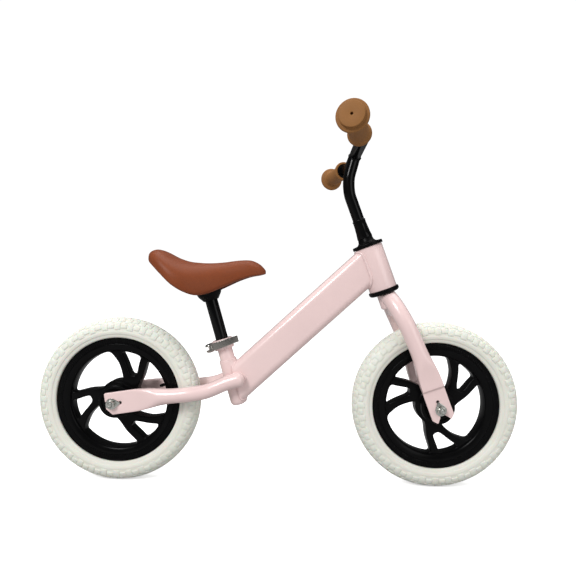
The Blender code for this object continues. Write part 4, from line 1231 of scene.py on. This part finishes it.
class BIKE_OT_build_frame(bpy.types.Operator):
    """Build the frame: head, down and seat tubes, chainstays and their weld beads"""
    bl_idname = "bike.build_frame"
    bl_label = "Frame"

    def execute(self, context):
        settings = context.scene.bike_frame
        tall = HEAD_TUBE_HALF_LENGTH
        head = turned([(0.0215, -tall), (HEAD_TUBE_RADIUS, -tall, 0.0008), (HEAD_TUBE_RADIUS, tall, 0.0008),
                       (0.0215, tall)], steps=120)
        add_piece("frame_head_tube", moved(head, HEAD), "pink_enamel", "frame", ["head_tube"])
        add_piece("frame_down_tube", build_down_tube(), "pink_enamel", "frame", ["down_tube"], sharp=60)

        foot, shoulder = -SEAT_TUBE_LENGTH, -SEAT_SLEEVE_SHOWN
        wide = SEAT_TUBE_RADIUS
        tube = turned([(0, foot), (wide * 0.45, foot + 0.0002), (wide * 0.84, foot + 0.0022, 0.0015),
                       (wide, foot + 0.0070, 0.0025), (wide, shoulder - 0.0020, 0.0010), (wide - 0.0010, shoulder),
                       (0, shoulder)], steps=80, closed=False)
        add_piece("frame_seat_tube", moved(tube, SEAT), "pink_enamel", "frame", ["seat_tube"])
        sleeve = turned([(SEATPOST_RADIUS + FIT_GAP, shoulder - 0.0200), (SEAT_SLEEVE_RADIUS, shoulder - 0.0200),
                         (SEAT_SLEEVE_RADIUS, 0.0160, 0.0004), (SEATPOST_RADIUS + FIT_GAP, 0.0160, 0.0003)], steps=80)
        slit = block((-0.03, -0.00125, -0.0100), (0, 0.00125, 0.03))
        add_piece("frame_seat_sleeve", moved(carved(sleeve, slit), SEAT), "pink_enamel", "frame", ["seat_sleeve"],
                  sharp=35)

        for side, hand in RIGHT_LEFT:
            add_piece("frame_chainstay_" + hand, build_chainstay(side), "pink_enamel", "frame", ["chainstay_" + hand],
                      sharp=32)
            bead = weld_bead(stay_joint(side), settings, 0.85, loop=False)
            add_piece("weld_chainstay_" + hand, bead, "pink_enamel", "frame", sharp=60)

        section = down_tube_section()
        tops, feet = down_tube_ends(section, HEAD_TUBE_RADIUS + 0.0002, SEAT_TUBE_RADIUS)
        feet = eased_outline([tuck(point, 0.0010) for point in feet], 10)
        collar = round_route(SEAT, 0.0136, shoulder - 0.0002)
        for place, route, size in (("head_tube", eased_outline(tops, 5), 1.1), ("seat_tube", feet, 0.85),
                                   ("seat_sleeve", collar, 0.65)):
            add_piece("weld_" + place, weld_bead(route, settings, size), "pink_enamel", "frame", sharp=60)
        return {"FINISHED"}


# ---- fork and headset ---------------------------------------------------------------------------------------------


def fork_route(side):
    """The centre line of a fork leg in the steering frame."""
    plate = DROPOUT_OUTER - DROPOUT_THICKNESS / 2
    points = [(1.2e-3, 1.0e-3, -47e-3), (2.0e-3, 6.0e-3, -52e-3), (4.5e-3, 15e-3, -62e-3), (6.8e-3, 24e-3, -75e-3),
              (8.8e-3, 31e-3, -90e-3), (11e-3, 36e-3, -108e-3), (13e-3, 38e-3, -135e-3), (14.6e-3, 38.8e-3, -165e-3),
              (15.4e-3, plate - 0.0010, -190e-3), (FORK_RAKE, plate - 0.0005, -205e-3), (FORK_RAKE, plate, -218e-3),
              (FORK_RAKE, plate, -228e-3), (FORK_RAKE, plate, -236e-3), (FORK_RAKE, plate, -256e-3),
              (FORK_RAKE + 0.0005, plate, -FORK_FOOT)]
    return [Vector((x, side * y, z)) for x, y, z in smooth_route(points, 5)]


SLOT_MOUTH = ((-0.0040, -0.0088), (-0.0052, -0.0122), (-0.0112, -0.0200), (-0.0150, -0.0280), (0.0150, -0.0280),
              (0.0112, -0.0190), (0.0088, -0.0150), (0.0040, -0.0100))


def build_fork_leg(side):
    """A bent leg that leaves the crown, straddles the wheel and is pressed flat and slotted at the axle."""
    route = fork_route(side)
    stations = []
    for index, centre in enumerate(route):
        heading = (route[min(index + 1, len(route) - 1)] - route[max(index - 1, 0)]).normalized()
        forward = Vector((1, 0, 0))
        forward = (forward - heading * forward.dot(heading)).normalized()
        flat = (-centre.z - 0.165) / 0.060
        half_width = ease(FORK_TUBE_RADIUS, 0.0074, (-centre.z - 0.164) / 0.058)
        half_width = ease(half_width, DROPOUT_THICKNESS / 2, (-centre.z - 0.2215) / 0.0050)
        half_height = ease(FORK_TUBE_RADIUS, DROPOUT_HALF_HEIGHT, (-centre.z - 0.150) / 0.070)
        stations.append((centre, heading.cross(forward), forward, half_width, half_height, ease(2, 9, flat)))
    leg = drawn(stations, 56)
    trimmed(leg, Vector((0, side * 0.00002, 0)), Vector((0, -side, 0)))
    trimmed(leg, Vector((0, 0, CROWN_TOP - 0.0005)), Vector((0, 0, 1)))
    for end in (1, -1):
        trimmed(leg, Vector((FORK_RAKE + end * 0.0185, 0, 0.0060 - FORK_FOOT)), Vector((end * 0.72, 0, -0.69)))
    axle = Matrix.Translation((FORK_RAKE, 0, -AXLE_TO_HEAD))
    for tool in dropout_tools(axle @ Matrix.Rotation(QUARTER_TURN, 4, "Y"), side):
        leg = carved(leg, tool)
    leg = carved(leg, moved(slab(SLOT_MOUTH, -0.06, 0.06), axle @ Matrix.Rotation(QUARTER_TURN, 4, "X")))
    return moved(soften(leg, 0.0005, 52), HEAD)


class BIKE_OT_build_fork(bpy.types.Operator):
    """Build the fork's crown and two legs"""
    bl_idname = "bike.build_fork"
    bl_label = "Fork"

    def execute(self, context):
        crown = turned([(0, CROWN_TOP), (CROWN_RADIUS, CROWN_TOP, 0.0010), (CROWN_RADIUS, CROWN_BOTTOM, 0.0030),
                        (0.0042, CROWN_BOTTOM), (0.0042, CROWN_BOTTOM + 0.0027), (0, CROWN_BOTTOM + 0.0027)],
                       steps=80, closed=False)
        web = block((-0.0062, -0.0200, -0.0880), (0.0090, 0.0200, -0.0600), 0.0020, 3)
        add_piece("fork_crown_boss", moved(joined(crown, web), HEAD), "pink_enamel", "steering", ["fork_crown"])
        for side, hand in RIGHT_LEFT:
            add_piece("fork_blade_" + hand, build_fork_leg(side), "pink_enamel", "steering", ["fork_leg_" + hand],
                      sharp=32)
        return {"FINISHED"}


class BIKE_OT_build_headset(bpy.types.Operator):
    """Build the headset: cap, lower cup and crown race"""
    bl_idname = "bike.build_headset"
    bl_label = "Headset"

    def execute(self, context):
        top = HEAD_TUBE_HALF_LENGTH
        cap = turned([(QUILL_RADIUS + FIT_GAP, top + 0.0165), (0.0130, top + 0.0165, 0.0008), (0.0140, top + 0.0110),
                      (0.0168, top + 0.0076), (0.0215, top + 0.0066), (HEADSET_FLANGE, top + 0.0062, 0.0014),
                      (HEADSET_FLANGE, top + 0.0006, 0.0008), (0.0205, top + 0.0003),
                      (STEERER_RADIUS + FIT_GAP, top + 0.0003), (STEERER_RADIUS + FIT_GAP, top + 0.0080),
                      (QUILL_RADIUS + FIT_GAP, top + 0.0080)], steps=96)
        add_piece("headset_top_cap", moved(cap, HEAD), "satin_plastic", "steering", ["headset_cap"], sharp=45)
        cup = turned([(0.0212, -top + 0.0150), (0.0212, -top - 0.0003), (HEADSET_FLANGE, -top - 0.0003, 0.0006),
                      (HEADSET_FLANGE, -top - 0.0056, 0.0012), (0.0240, -top - 0.0080, 0.0008),
                      (0.0185, -top - 0.0080), (0.0185, -top - 0.0040), (0.0203, -top - 0.0040),
                      (0.0203, -top + 0.0150)], steps=96)
        add_piece("headset_lower_ring", moved(cup, HEAD), "satin_plastic", "frame", ["headset_cup_lower"], sharp=45)
        race = turned([(0.0130, -top - 0.0045), (0.0178, -top - 0.0045, 0.0004), (0.0182, -top - 0.0085, 0.0004),
                       (0.0130, -top - 0.0085)], steps=80)
        add_piece("headset_race", moved(race, HEAD), "zinc_plate", "steering", ["crown_race"])
        return {"FINISHED"}


# ---- handlebar ----------------------------------------------------------------------------------------------------


def grip_frame(side):
    """A frame on the bar's bend whose Z runs out along the grip."""
    outward = Vector((-math.sin(BAR_SWEEP), side * math.cos(BAR_SWEEP), 0))
    across = Vector((0, 0, 1))
    turn = Matrix((across.cross(outward), across, outward)).transposed()
    return Matrix.Translation(BAR_CENTRE + Vector((0, side * BAR_BEND, 0))) @ turn.to_4x4()


class BIKE_OT_build_handlebar(bpy.types.Operator):
    """Build the handlebar: quill sleeve, bent stem, cross bar and grips"""
    bl_idname = "bike.build_handlebar"
    bl_label = "Handlebar"

    def execute(self, context):
        settings = context.scene.bike_bar
        top = HEAD_TUBE_HALF_LENGTH
        quill = turned([(0.0085, -0.0350), (QUILL_RADIUS, -0.0350), (QUILL_RADIUS, top + 0.0145),
                        (0.0137, top + 0.0172, 0.0010), (0.0124, top + 0.0270), (0.0114, QUILL_TOP - 0.0080),
                        (0.0112, QUILL_TOP, 0.0007),
                        (0.0085, QUILL_TOP)], steps=72)
        add_piece("stem_sleeve", moved(quill, HEAD), "black_enamel", "steering", ["quill_tube"])

        start = HEAD @ Vector((0, 0, QUILL_TOP - 0.0030))
        lean = Vector((math.sin(STEM_LEAN), 0, math.cos(STEM_LEAN)))
        reach = (BAR_CENTRE - start).cross(lean).y / HEAD_Z.cross(lean).y
        corner = start + HEAD_Z * reach
        route = filleted([start, corner, BAR_CENTRE - lean * (BAR_RADIUS - 0.0018)], settings.stem_bend, 20)
        stem = drawn(tube_stations(route, BAR_RADIUS, Vector((0, 1, 0))), 56)
        add_piece("stem_bent_tube", stem, "black_enamel", "steering", ["handlebar_stem"])
        beads = [weld_bead(round_route(HEAD, 0.0104, QUILL_TOP + 0.0006), context.scene.bike_frame, 0.60)]
        saddle_line = []
        ahead = Vector((math.cos(STEM_LEAN), 0, -math.sin(STEM_LEAN)))
        for step in range(72):
            turn = FULL_TURN * step / 72
            side = Vector((0, 1, 0)) * math.sin(turn) + ahead * math.cos(turn)
            point = BAR_CENTRE - lean * 0.03 + side * BAR_RADIUS
            across = side.dot(ahead) * BAR_RADIUS
            saddle_line.append(point + lean * (0.03 - math.sqrt(max(0.0, (BAR_RADIUS + 0.0002) ** 2 - across ** 2))))
        beads.append(weld_bead(saddle_line, context.scene.bike_frame, 0.62))
        add_piece("stem_weld_beads", joined(*beads), "black_enamel", "steering", sharp=60)

        ends = [grip_frame(side) @ Vector((0, 0, GRIP_START + GRIP_LENGTH - 0.0120)) for side in (-1, 1)]
        bends = [BAR_CENTRE + Vector((0, side * BAR_BEND, 0)) for side in (-1, 1)]
        route = filleted([ends[0], bends[0], bends[1], ends[1]], settings.bar_bend, 14)
        bar = drawn(tube_stations(route, BAR_RADIUS, Vector((0, 0, 1))), 56)
        add_piece("cross_bar", bar, "black_enamel", "steering", ["crossbar"])

        start, end = GRIP_START, GRIP_START + GRIP_LENGTH
        bore = BAR_RADIUS + FIT_GAP
        profile = [(0.0021, end - 0.0110), (0.0021, end, 0.0002), (0.0180, end, 0.0010),
                   (0.0183, end - 0.0062, 0.0006),
                   (0.0221, end - 0.0065, 0.0010), (0.0234, end - 0.0080, 0.0010), (0.0234, end - 0.0118, 0.0014),
                   (0.0196, end - 0.0140, 0.0012), (0.0166, end - 0.0154, 0.0012), (0.0152, end - 0.0210, 0.0012),
                   (0.0149, end - 0.0400), (0.0150, start + 0.0220), (0.0156, start + 0.0100, 0.0016),
                   (0.0186, start + 0.0055, 0.0012), (0.0190, start + 0.0020, 0.0012), (0.0176, start, 0.0010),
                   (0.0146, start, 0.0004), (0.0142, start + 0.0026), (bore, start + 0.0026), (bore, end - 0.0100)]
        for side, hand in RIGHT_LEFT:
            grip = turned(profile, steps=96)
            add_piece("handle_grip_" + hand, moved(grip, grip_frame(side)), "soft_rubber", "steering",
                      ["grip_" + hand], sharp=45)
            # A black ring in the grip's inner recess that darkens the crescent between bar and flange: partly a black
            # sleeve, partly painted shade for the recess.
            ring = turned([(BAR_RADIUS - 0.0003, start + 0.0008), (0.0139, start + 0.0008, 0.0004),
                           (0.0139, start + 0.0040), (BAR_RADIUS - 0.0003, start + 0.0040)], steps=64)
            add_piece("grip_sleeve_and_shade_ring_" + hand, moved(ring, grip_frame(side)), "satin_plastic", "steering")
        return {"FINISHED"}


# ---- saddle -------------------------------------------------------------------------------------------------------


SADDLE_SECTIONS = (
    (-0.2275, 0.014, 0.4050, 0.3960), (-0.2220, 0.030, 0.4100, 0.3885), (-0.2120, 0.042, 0.4125, 0.3800),
    (-0.1980, 0.052, 0.4085, 0.3675), (-0.1780, 0.059, 0.3985, 0.3495), (-0.1580, 0.058, 0.3920, 0.3370),
    (-0.1380, 0.050, 0.3897, 0.3305), (-0.1180, 0.041, 0.3893, 0.3345), (-0.0950, 0.032, 0.3910, 0.3450),
    (-0.0700, 0.027, 0.3945, 0.3570), (-0.0480, 0.024, 0.3950, 0.3650), (-0.0330, 0.020, 0.3890, 0.3680),
    (-0.0250, 0.014, 0.3820, 0.3700), (-0.0215, 0.007, 0.3775, 0.3715),
)


def saddle_outline(steps):
    """The saddle's sections from tail to nose, smoothed: (x, half width, top height, bottom height)."""
    places = smooth_route([(x, 0, 0) for x, *_ in SADDLE_SECTIONS], steps)
    sizes = smooth_route([section[1:] for section in SADDLE_SECTIONS], steps)
    return [(place.x, size.x, size.y, size.z) for place, size in zip(places, sizes)]


def saddle_shape(angle, half_width, half_height, _):
    """A domed top over a tighter, flatter underside, so that the widest line lies low."""
    waist = -0.45 * half_height
    if math.sin(angle) >= 0:
        x, y = oval_point(angle, half_width, half_height - waist, 2.25)
    else:
        x, y = oval_point(angle, half_width, half_height + waist, 5.0)
    return x, y + waist


def flat_oval(angle, half_width, half_height, _):
    """A nearly square section, whatever power the station asks for."""
    return oval_point(angle, half_width, half_height, 5)


def saddle_skin(sections, inset):
    """Stations across the saddle's sections, drawn in by an inset at the sides."""
    stations = []
    for x, half_width, top, bottom in sections:
        centre = Vector((x, 0, (top + bottom) / 2))
        stations.append((centre, Vector((0, 1, 0)), Vector((0, 0, 1)), max(half_width - inset, 0.002),
                         (top - bottom) / 2, 2))
    return stations


class BIKE_OT_build_saddle(bpy.types.Operator):
    """Build the saddle: padded cover, base tray with its socket, and the post"""
    bl_idname = "bike.build_saddle"
    bl_label = "Saddle"

    def execute(self, context):
        outline = saddle_outline(4)
        cover = drawn(saddle_skin(outline, 0.0), 72, shape=saddle_shape)
        inner = [(x, width, low + (top - low) * 0.45, low - 0.02) for x, width, top, low in outline[8:-12]]
        hollow = drawn(saddle_skin(inner, 0.0055), 48, shape=flat_oval)
        cover = carved(cover, hollow)
        padding = add_piece("saddle_cushion", soften(cover, 0.0009, 55, 3), "saddle_leather", "seat",
                            ["saddle_cover"], sharp=50)

        plate = [(x, width * 0.86, top - 0.0020, top - 0.0100) for x, width, top, _ in inner[3:-3]]
        tray = drawn(saddle_skin(plate, 0.0050), 48, shape=flat_oval)
        socket = turned([(0, 0.1200), (0.0200, 0.1200), (0.0235, 0.1120, 0.0020), (0.0214, 0.1005, 0.0030),
                         (0.0150, 0.0918, 0.0020), (0.0135, 0.0895, 0.0005),
                         (SEATPOST_RADIUS + FIT_GAP, 0.0895, 0.0003),
                         (SEATPOST_RADIUS + FIT_GAP, SEATPOST_TOP + FIT_GAP), (0, SEATPOST_TOP + FIT_GAP)],
                        steps=80, closed=False)
        base = carved(tray, moved(socket, SEAT), "UNION")
        add_piece("saddle_base_tray", soften(base, 0.0006, 55), "satin_plastic", "seat", ["saddle_base"])

        post = turned([(0.0092, SEATPOST_BOTTOM), (SEATPOST_RADIUS, SEATPOST_BOTTOM, 0.0006),
                       (SEATPOST_RADIUS, SEATPOST_TOP, 0.0003), (0.0092, SEATPOST_TOP)], steps=80)
        add_piece("seat_post_tube", moved(post, SEAT), "black_enamel", "seat", ["seatpost"])

        across = SEAT @ Matrix.Translation((0, 0, 0.1040)) @ Matrix.Rotation(QUARTER_TURN, 4, "X")
        screw = turned([(0, -0.0245), (0.0034, -0.0245, 0.0008), (0.0037, -0.0228, 0.0004), (0.0020, -0.0226),
                        (0.0020, 0.0226), (0.0037, 0.0228, 0.0004), (0.0034, 0.0245, 0.0008), (0, 0.0245)],
                       steps=32, closed=False)
        socket_end = slab([(0.0016 * math.cos(math.radians(60 * k)), 0.0016 * math.sin(math.radians(60 * k)))
                           for k in range(6)], -0.03, -0.0228)
        add_piece("saddle_cross_bolt", moved(carved(screw, socket_end), across), "black_enamel", "seat",
                  ["saddle_screw"], sharp=35)
        return {"FINISHED"}


# ---- seat clamp ---------------------------------------------------------------------------------------------------


class BIKE_OT_build_clamp(bpy.types.Operator):
    """Build the seat clamp: split collar, cross bolt, nut and cam lever"""
    bl_idname = "bike.build_clamp"
    bl_label = "Seat clamp"

    def execute(self, context):
        back = 0.0214
        collar = turned([(SEAT_SLEEVE_RADIUS + 0.0002, 0.0), (0.0176, 0.0, 0.0010), (0.0176, 0.0180, 0.0010),
                         (SEAT_SLEEVE_RADIUS + 0.0002, 0.0180)], steps=96)
        ears = block((-back - 0.0052, -0.0085, 0.0025), (-0.0150, 0.0085, 0.0155), 0.0016, 3)
        collar = carved(collar, ears, "UNION")
        collar = carved(collar, block((-0.04, -0.0015, -0.01), (0, 0.0015, 0.03)))
        bolt_frame = Matrix.Translation((-back, 0, 0.0090)) @ Matrix.Rotation(QUARTER_TURN, 4, "X")
        collar = soften(carved(collar, moved(plug(0.0033, -0.02, 0.02, 32), bolt_frame)), 0.0004, 50)
        add_piece("seat_clamp_collar", moved(collar, SEAT), "pink_enamel", "frame", ["seat_clamp"], sharp=35)

        bolt = turned([(0, -0.0195), (0.0030, -0.0195, 0.0012), (0.0030, 0.0060, 0.0003), (0.0024, 0.0066),
                       (0.0024, 0.0093, 0.0003), (0, 0.0093)], steps=40, closed=False)
        add_piece("clamp_cross_bolt", moved(bolt, SEAT @ bolt_frame), "zinc_plate", "frame", ["clamp_skewer"])
        knurls = 28
        nut = turned([(0.0032, -0.0088), (0.0062, -0.0088, 0.0005), (0.0066, -0.0100, 0.0004),
                      (0.0066, -0.0138, 0.0006), (0.0050, -0.0154, 0.0006), (0.0032, -0.0154, 0.0003)],
                     steps=knurls * 2)
        for vert in nut.verts:
            spot = round(math.atan2(vert.co.y, vert.co.x) / (math.pi / knurls))
            if math.hypot(vert.co.x, vert.co.y) > 0.0058 and spot % 2:
                vert.co.xy *= 0.955
        add_piece("clamp_thumb_nut", moved(nut, SEAT @ bolt_frame), "chrome_plate", "frame", ["clamp_nut"], sharp=25)

        stations = []
        route = smooth_route([(0.0044, -0.0026, 0.0003), (0.0074, -0.0038, 0.0006), (0.0164, -0.0049, 0.0013),
                              (0.0274, -0.0049, 0.0021), (0.0374, -0.0038, 0.0028), (0.0454, -0.0027, 0.0035),
                              (0.0524, -0.0025, 0.0040)], 6)
        for index, centre in enumerate(route):
            heading = route[min(index + 1, len(route) - 1)] - route[max(index - 1, 0)]
            across = Vector((-heading.y, heading.x, 0)).normalized()
            share = index / (len(route) - 1)
            stations.append((centre, across, Vector((0, 0, 1)), 0.0013, ease(0.0064, 0.0058, share), 7))
        blade = soften(drawn(stations, 40), 0.0004, 55)
        head = turned([(0, -0.0078, 0.0005), (0.0030, -0.0078, 0.0006), (0.0064, -0.0070, 0.0012),
                       (0.0080, -0.0040, 0.0016), (0.0080, 0.0040, 0.0016), (0.0064, 0.0070, 0.0012),
                       (0.0030, 0.0078, 0.0006), (0, 0.0078, 0.0005)], steps=64, closed=False)
        slot = block((-0.0120, -0.0120, -0.0034), (0.0034, 0.0120, 0.0034), 0.0008)
        head = soften(carved(head, slot), 0.0003, 50)
        lever = joined(head, blade)
        add_piece("clamp_cam_lever", moved(lever, LEVER), "chrome_plate", "lever", ["clamp_lever"], sharp=35)
        return {"FINISHED"}


# ---- finishing and stage ------------------------------------------------------------------------------------------


class BIKE_OT_mix_finishes(bpy.types.Operator):
    """Mix the paints, plastics, foam, leather, rubber and plated metals"""
    bl_idname = "bike.mix_finishes"
    bl_label = "Finishes"

    def execute(self, context):
        given = context.scene.bike_finishes
        grain, pebble, rub = grain_group(), pebble_group(), rub_group()
        coated_paint("pink_enamel", given.paint, 0.24, grain, rub)
        coated_paint("black_enamel", given.black_paint, 0.30, grain, rub, 0.30, 0.02)
        moulded_plastic("rim_plastic", given.plastic, 0.20, grain, rub, 900.0, 0.00003, 0.08)
        moulded_plastic("satin_plastic", given.plastic, 0.30, grain, rub, 1300.0, 0.00008, 0.07)
        cellular_foam("cellular_foam", given.foam, given.foam_shade, grain)
        pressed_leather("saddle_leather", given.leather, given.crease_shade, grain, pebble)
        soft_rubber("soft_rubber", given.rubber, grain)
        plated_metal("zinc_plate", given.zinc, 0.34, grain, rub, (1, 8, 1))
        plated_metal("bright_zinc", given.zinc, 0.24, grain, rub, (4, 1, 4))
        plated_metal("chrome_plate", given.chrome, 0.27, grain, rub, (1, 1, 6))
        studio_floor("studio_floor", given.floor)
        return {"FINISHED"}


class BIKE_OT_finish_hidden_parts(bpy.types.Operator):
    """Give the small solid parts inside the bike their metal and plastic finishes"""
    bl_idname = "bike.finish_hidden_parts"
    bl_label = "Inner parts"

    def execute(self, context):
        for name, node in frame["nodes"].items():
            if node.hide_render:
                continue
            chosen = "satin_plastic" if "cup" in name else "zinc_plate"
            node.data.materials.clear()
            node.data.materials.append(finish(chosen))
        return {"FINISHED"}


class BIKE_OT_build_stage(bpy.types.Operator):
    """Build the pale floor, the soft lights and the camera"""
    bl_idname = "bike.build_stage"
    bl_label = "Stage"

    def execute(self, context):
        settings = context.scene.bike_stage
        scene = context.scene
        bm = bmesh.new()
        bmesh.ops.create_grid(bm, x_segments=8, y_segments=8, size=14)
        mesh = bpy.data.meshes.new("studio_floor")
        bm.to_mesh(mesh)
        bm.free()
        mesh.materials.append(finish("studio_floor"))
        floor = bpy.data.objects.new("studio_floor", mesh)
        scene.collection.objects.link(floor)

        lights = (
            ("key_light", (-1.15, -1.75, 1.75), (0.0, 0.0, 0.28), 0.7, 0.9, settings.key),
            ("top_light", (0.10, 0.25, 2.10), (0.0, 0.0, 0.20), 2.4, 1.4, settings.top),
            ("fill_light", (1.50, -1.50, 0.75), (0.05, 0.0, 0.25), 1.2, 1.2, settings.fill),
        )
        for name, place, aim, wide, tall, power in lights:
            data = bpy.data.lights.new(name, "AREA")
            data.shape = "RECTANGLE"
            data.size, data.size_y = wide, tall
            data.energy = power
            lamp = bpy.data.objects.new(name, data)
            lamp.location = place
            lamp.rotation_mode = "QUATERNION"
            lamp.rotation_quaternion = (Vector(aim) - Vector(place)).to_track_quat("-Z", "Y")
            scene.collection.objects.link(lamp)

        world = bpy.data.worlds.new("studio")
        world.use_nodes = True
        sky = world.node_tree.nodes["Background"]
        path = world.node_tree.nodes.new("ShaderNodeLightPath")
        soft = spread(world.node_tree, path.outputs["Is Glossy Ray"], 0.0, 1.0, 0.61, 0.08)
        level = spread(world.node_tree, path.outputs["Is Camera Ray"], 0.0, 1.0, soft, 1.05)
        sky.inputs["Color"].default_value = (1.0, 1.0, 1.0, 1.0)
        world.node_tree.links.new(level, sky.inputs["Strength"])
        scene.world = world
        scene.view_settings.view_transform = "Standard"

        data = bpy.data.cameras.new("camera")
        data.sensor_width = 36.0
        data.lens = settings.lens
        data.clip_start, data.clip_end = 0.01, 100.0
        camera = bpy.data.objects.new("camera", data)
        yaw, pitch, roll = (math.radians(value) for value in CAMERA_TURN)
        turn = Matrix.Rotation(yaw, 3, "Z") @ Matrix.Rotation(pitch, 3, "X") @ Matrix.Rotation(roll, 3, "Y")
        facing = (turn @ Matrix.Rotation(QUARTER_TURN, 3, "X")).to_4x4()
        camera.matrix_world = Matrix.Translation(CAMERA_PLACE) @ facing
        scene.collection.objects.link(camera)
        scene.camera = camera
        return {"FINISHED"}


class BIKE_PT_panel(bpy.types.Panel):
    """The balance bike's pieces, each with the settings that shape it"""
    bl_idname = "BIKE_PT_panel"
    bl_label = "Balance Bike"
    bl_space_type = "VIEW_3D"
    bl_region_type = "UI"
    bl_category = "Balance Bike"

    def draw(self, context):
        for operator, group in STEPS:
            box = self.layout.box()
            box.operator(operator.bl_idname)
            if group:
                settings = getattr(context.scene, group)
                for name in settings.__annotations__:
                    box.prop(settings, name)


SETTINGS = {
    "bike_finishes": FinishSettings,
    "bike_tyres": TyreSettings,
    "bike_rims": RimSettings,
    "bike_frame": FrameSettings,
    "bike_bar": BarSettings,
    "bike_saddle": SaddleSettings,
    "bike_stage": StageSettings,
}
STEPS = (
    (BIKE_OT_mix_finishes, "bike_finishes"),
    (BIKE_OT_build_stage, "bike_stage"),
    (BIKE_OT_build_tyres, "bike_tyres"),
    (BIKE_OT_build_rims, "bike_rims"),
    (BIKE_OT_build_axles, None),
    (BIKE_OT_build_frame, "bike_frame"),
    (BIKE_OT_build_fork, None),
    (BIKE_OT_build_headset, None),
    (BIKE_OT_build_handlebar, "bike_bar"),
    (BIKE_OT_build_saddle, "bike_saddle"),
    (BIKE_OT_build_clamp, None),
    (BIKE_OT_finish_hidden_parts, None),
)


def register():
    for settings in SETTINGS.values():
        bpy.utils.register_class(settings)
    for operator, _ in STEPS:
        bpy.utils.register_class(operator)
    bpy.utils.register_class(BIKE_PT_panel)
    for name, settings in SETTINGS.items():
        setattr(bpy.types.Scene, name, bpy.props.PointerProperty(type=settings))


def unregister():
    for name in SETTINGS:
        delattr(bpy.types.Scene, name)
    bpy.utils.unregister_class(BIKE_PT_panel)
    for operator, _ in STEPS:
        bpy.utils.unregister_class(operator)
    for settings in SETTINGS.values():
        bpy.utils.unregister_class(settings)


def main():
    register()
    for operator, _ in STEPS:
        category, name = operator.bl_idname.split(".")
        getattr(getattr(bpy.ops, category), name)()


if __name__ == "__main__":
    main()
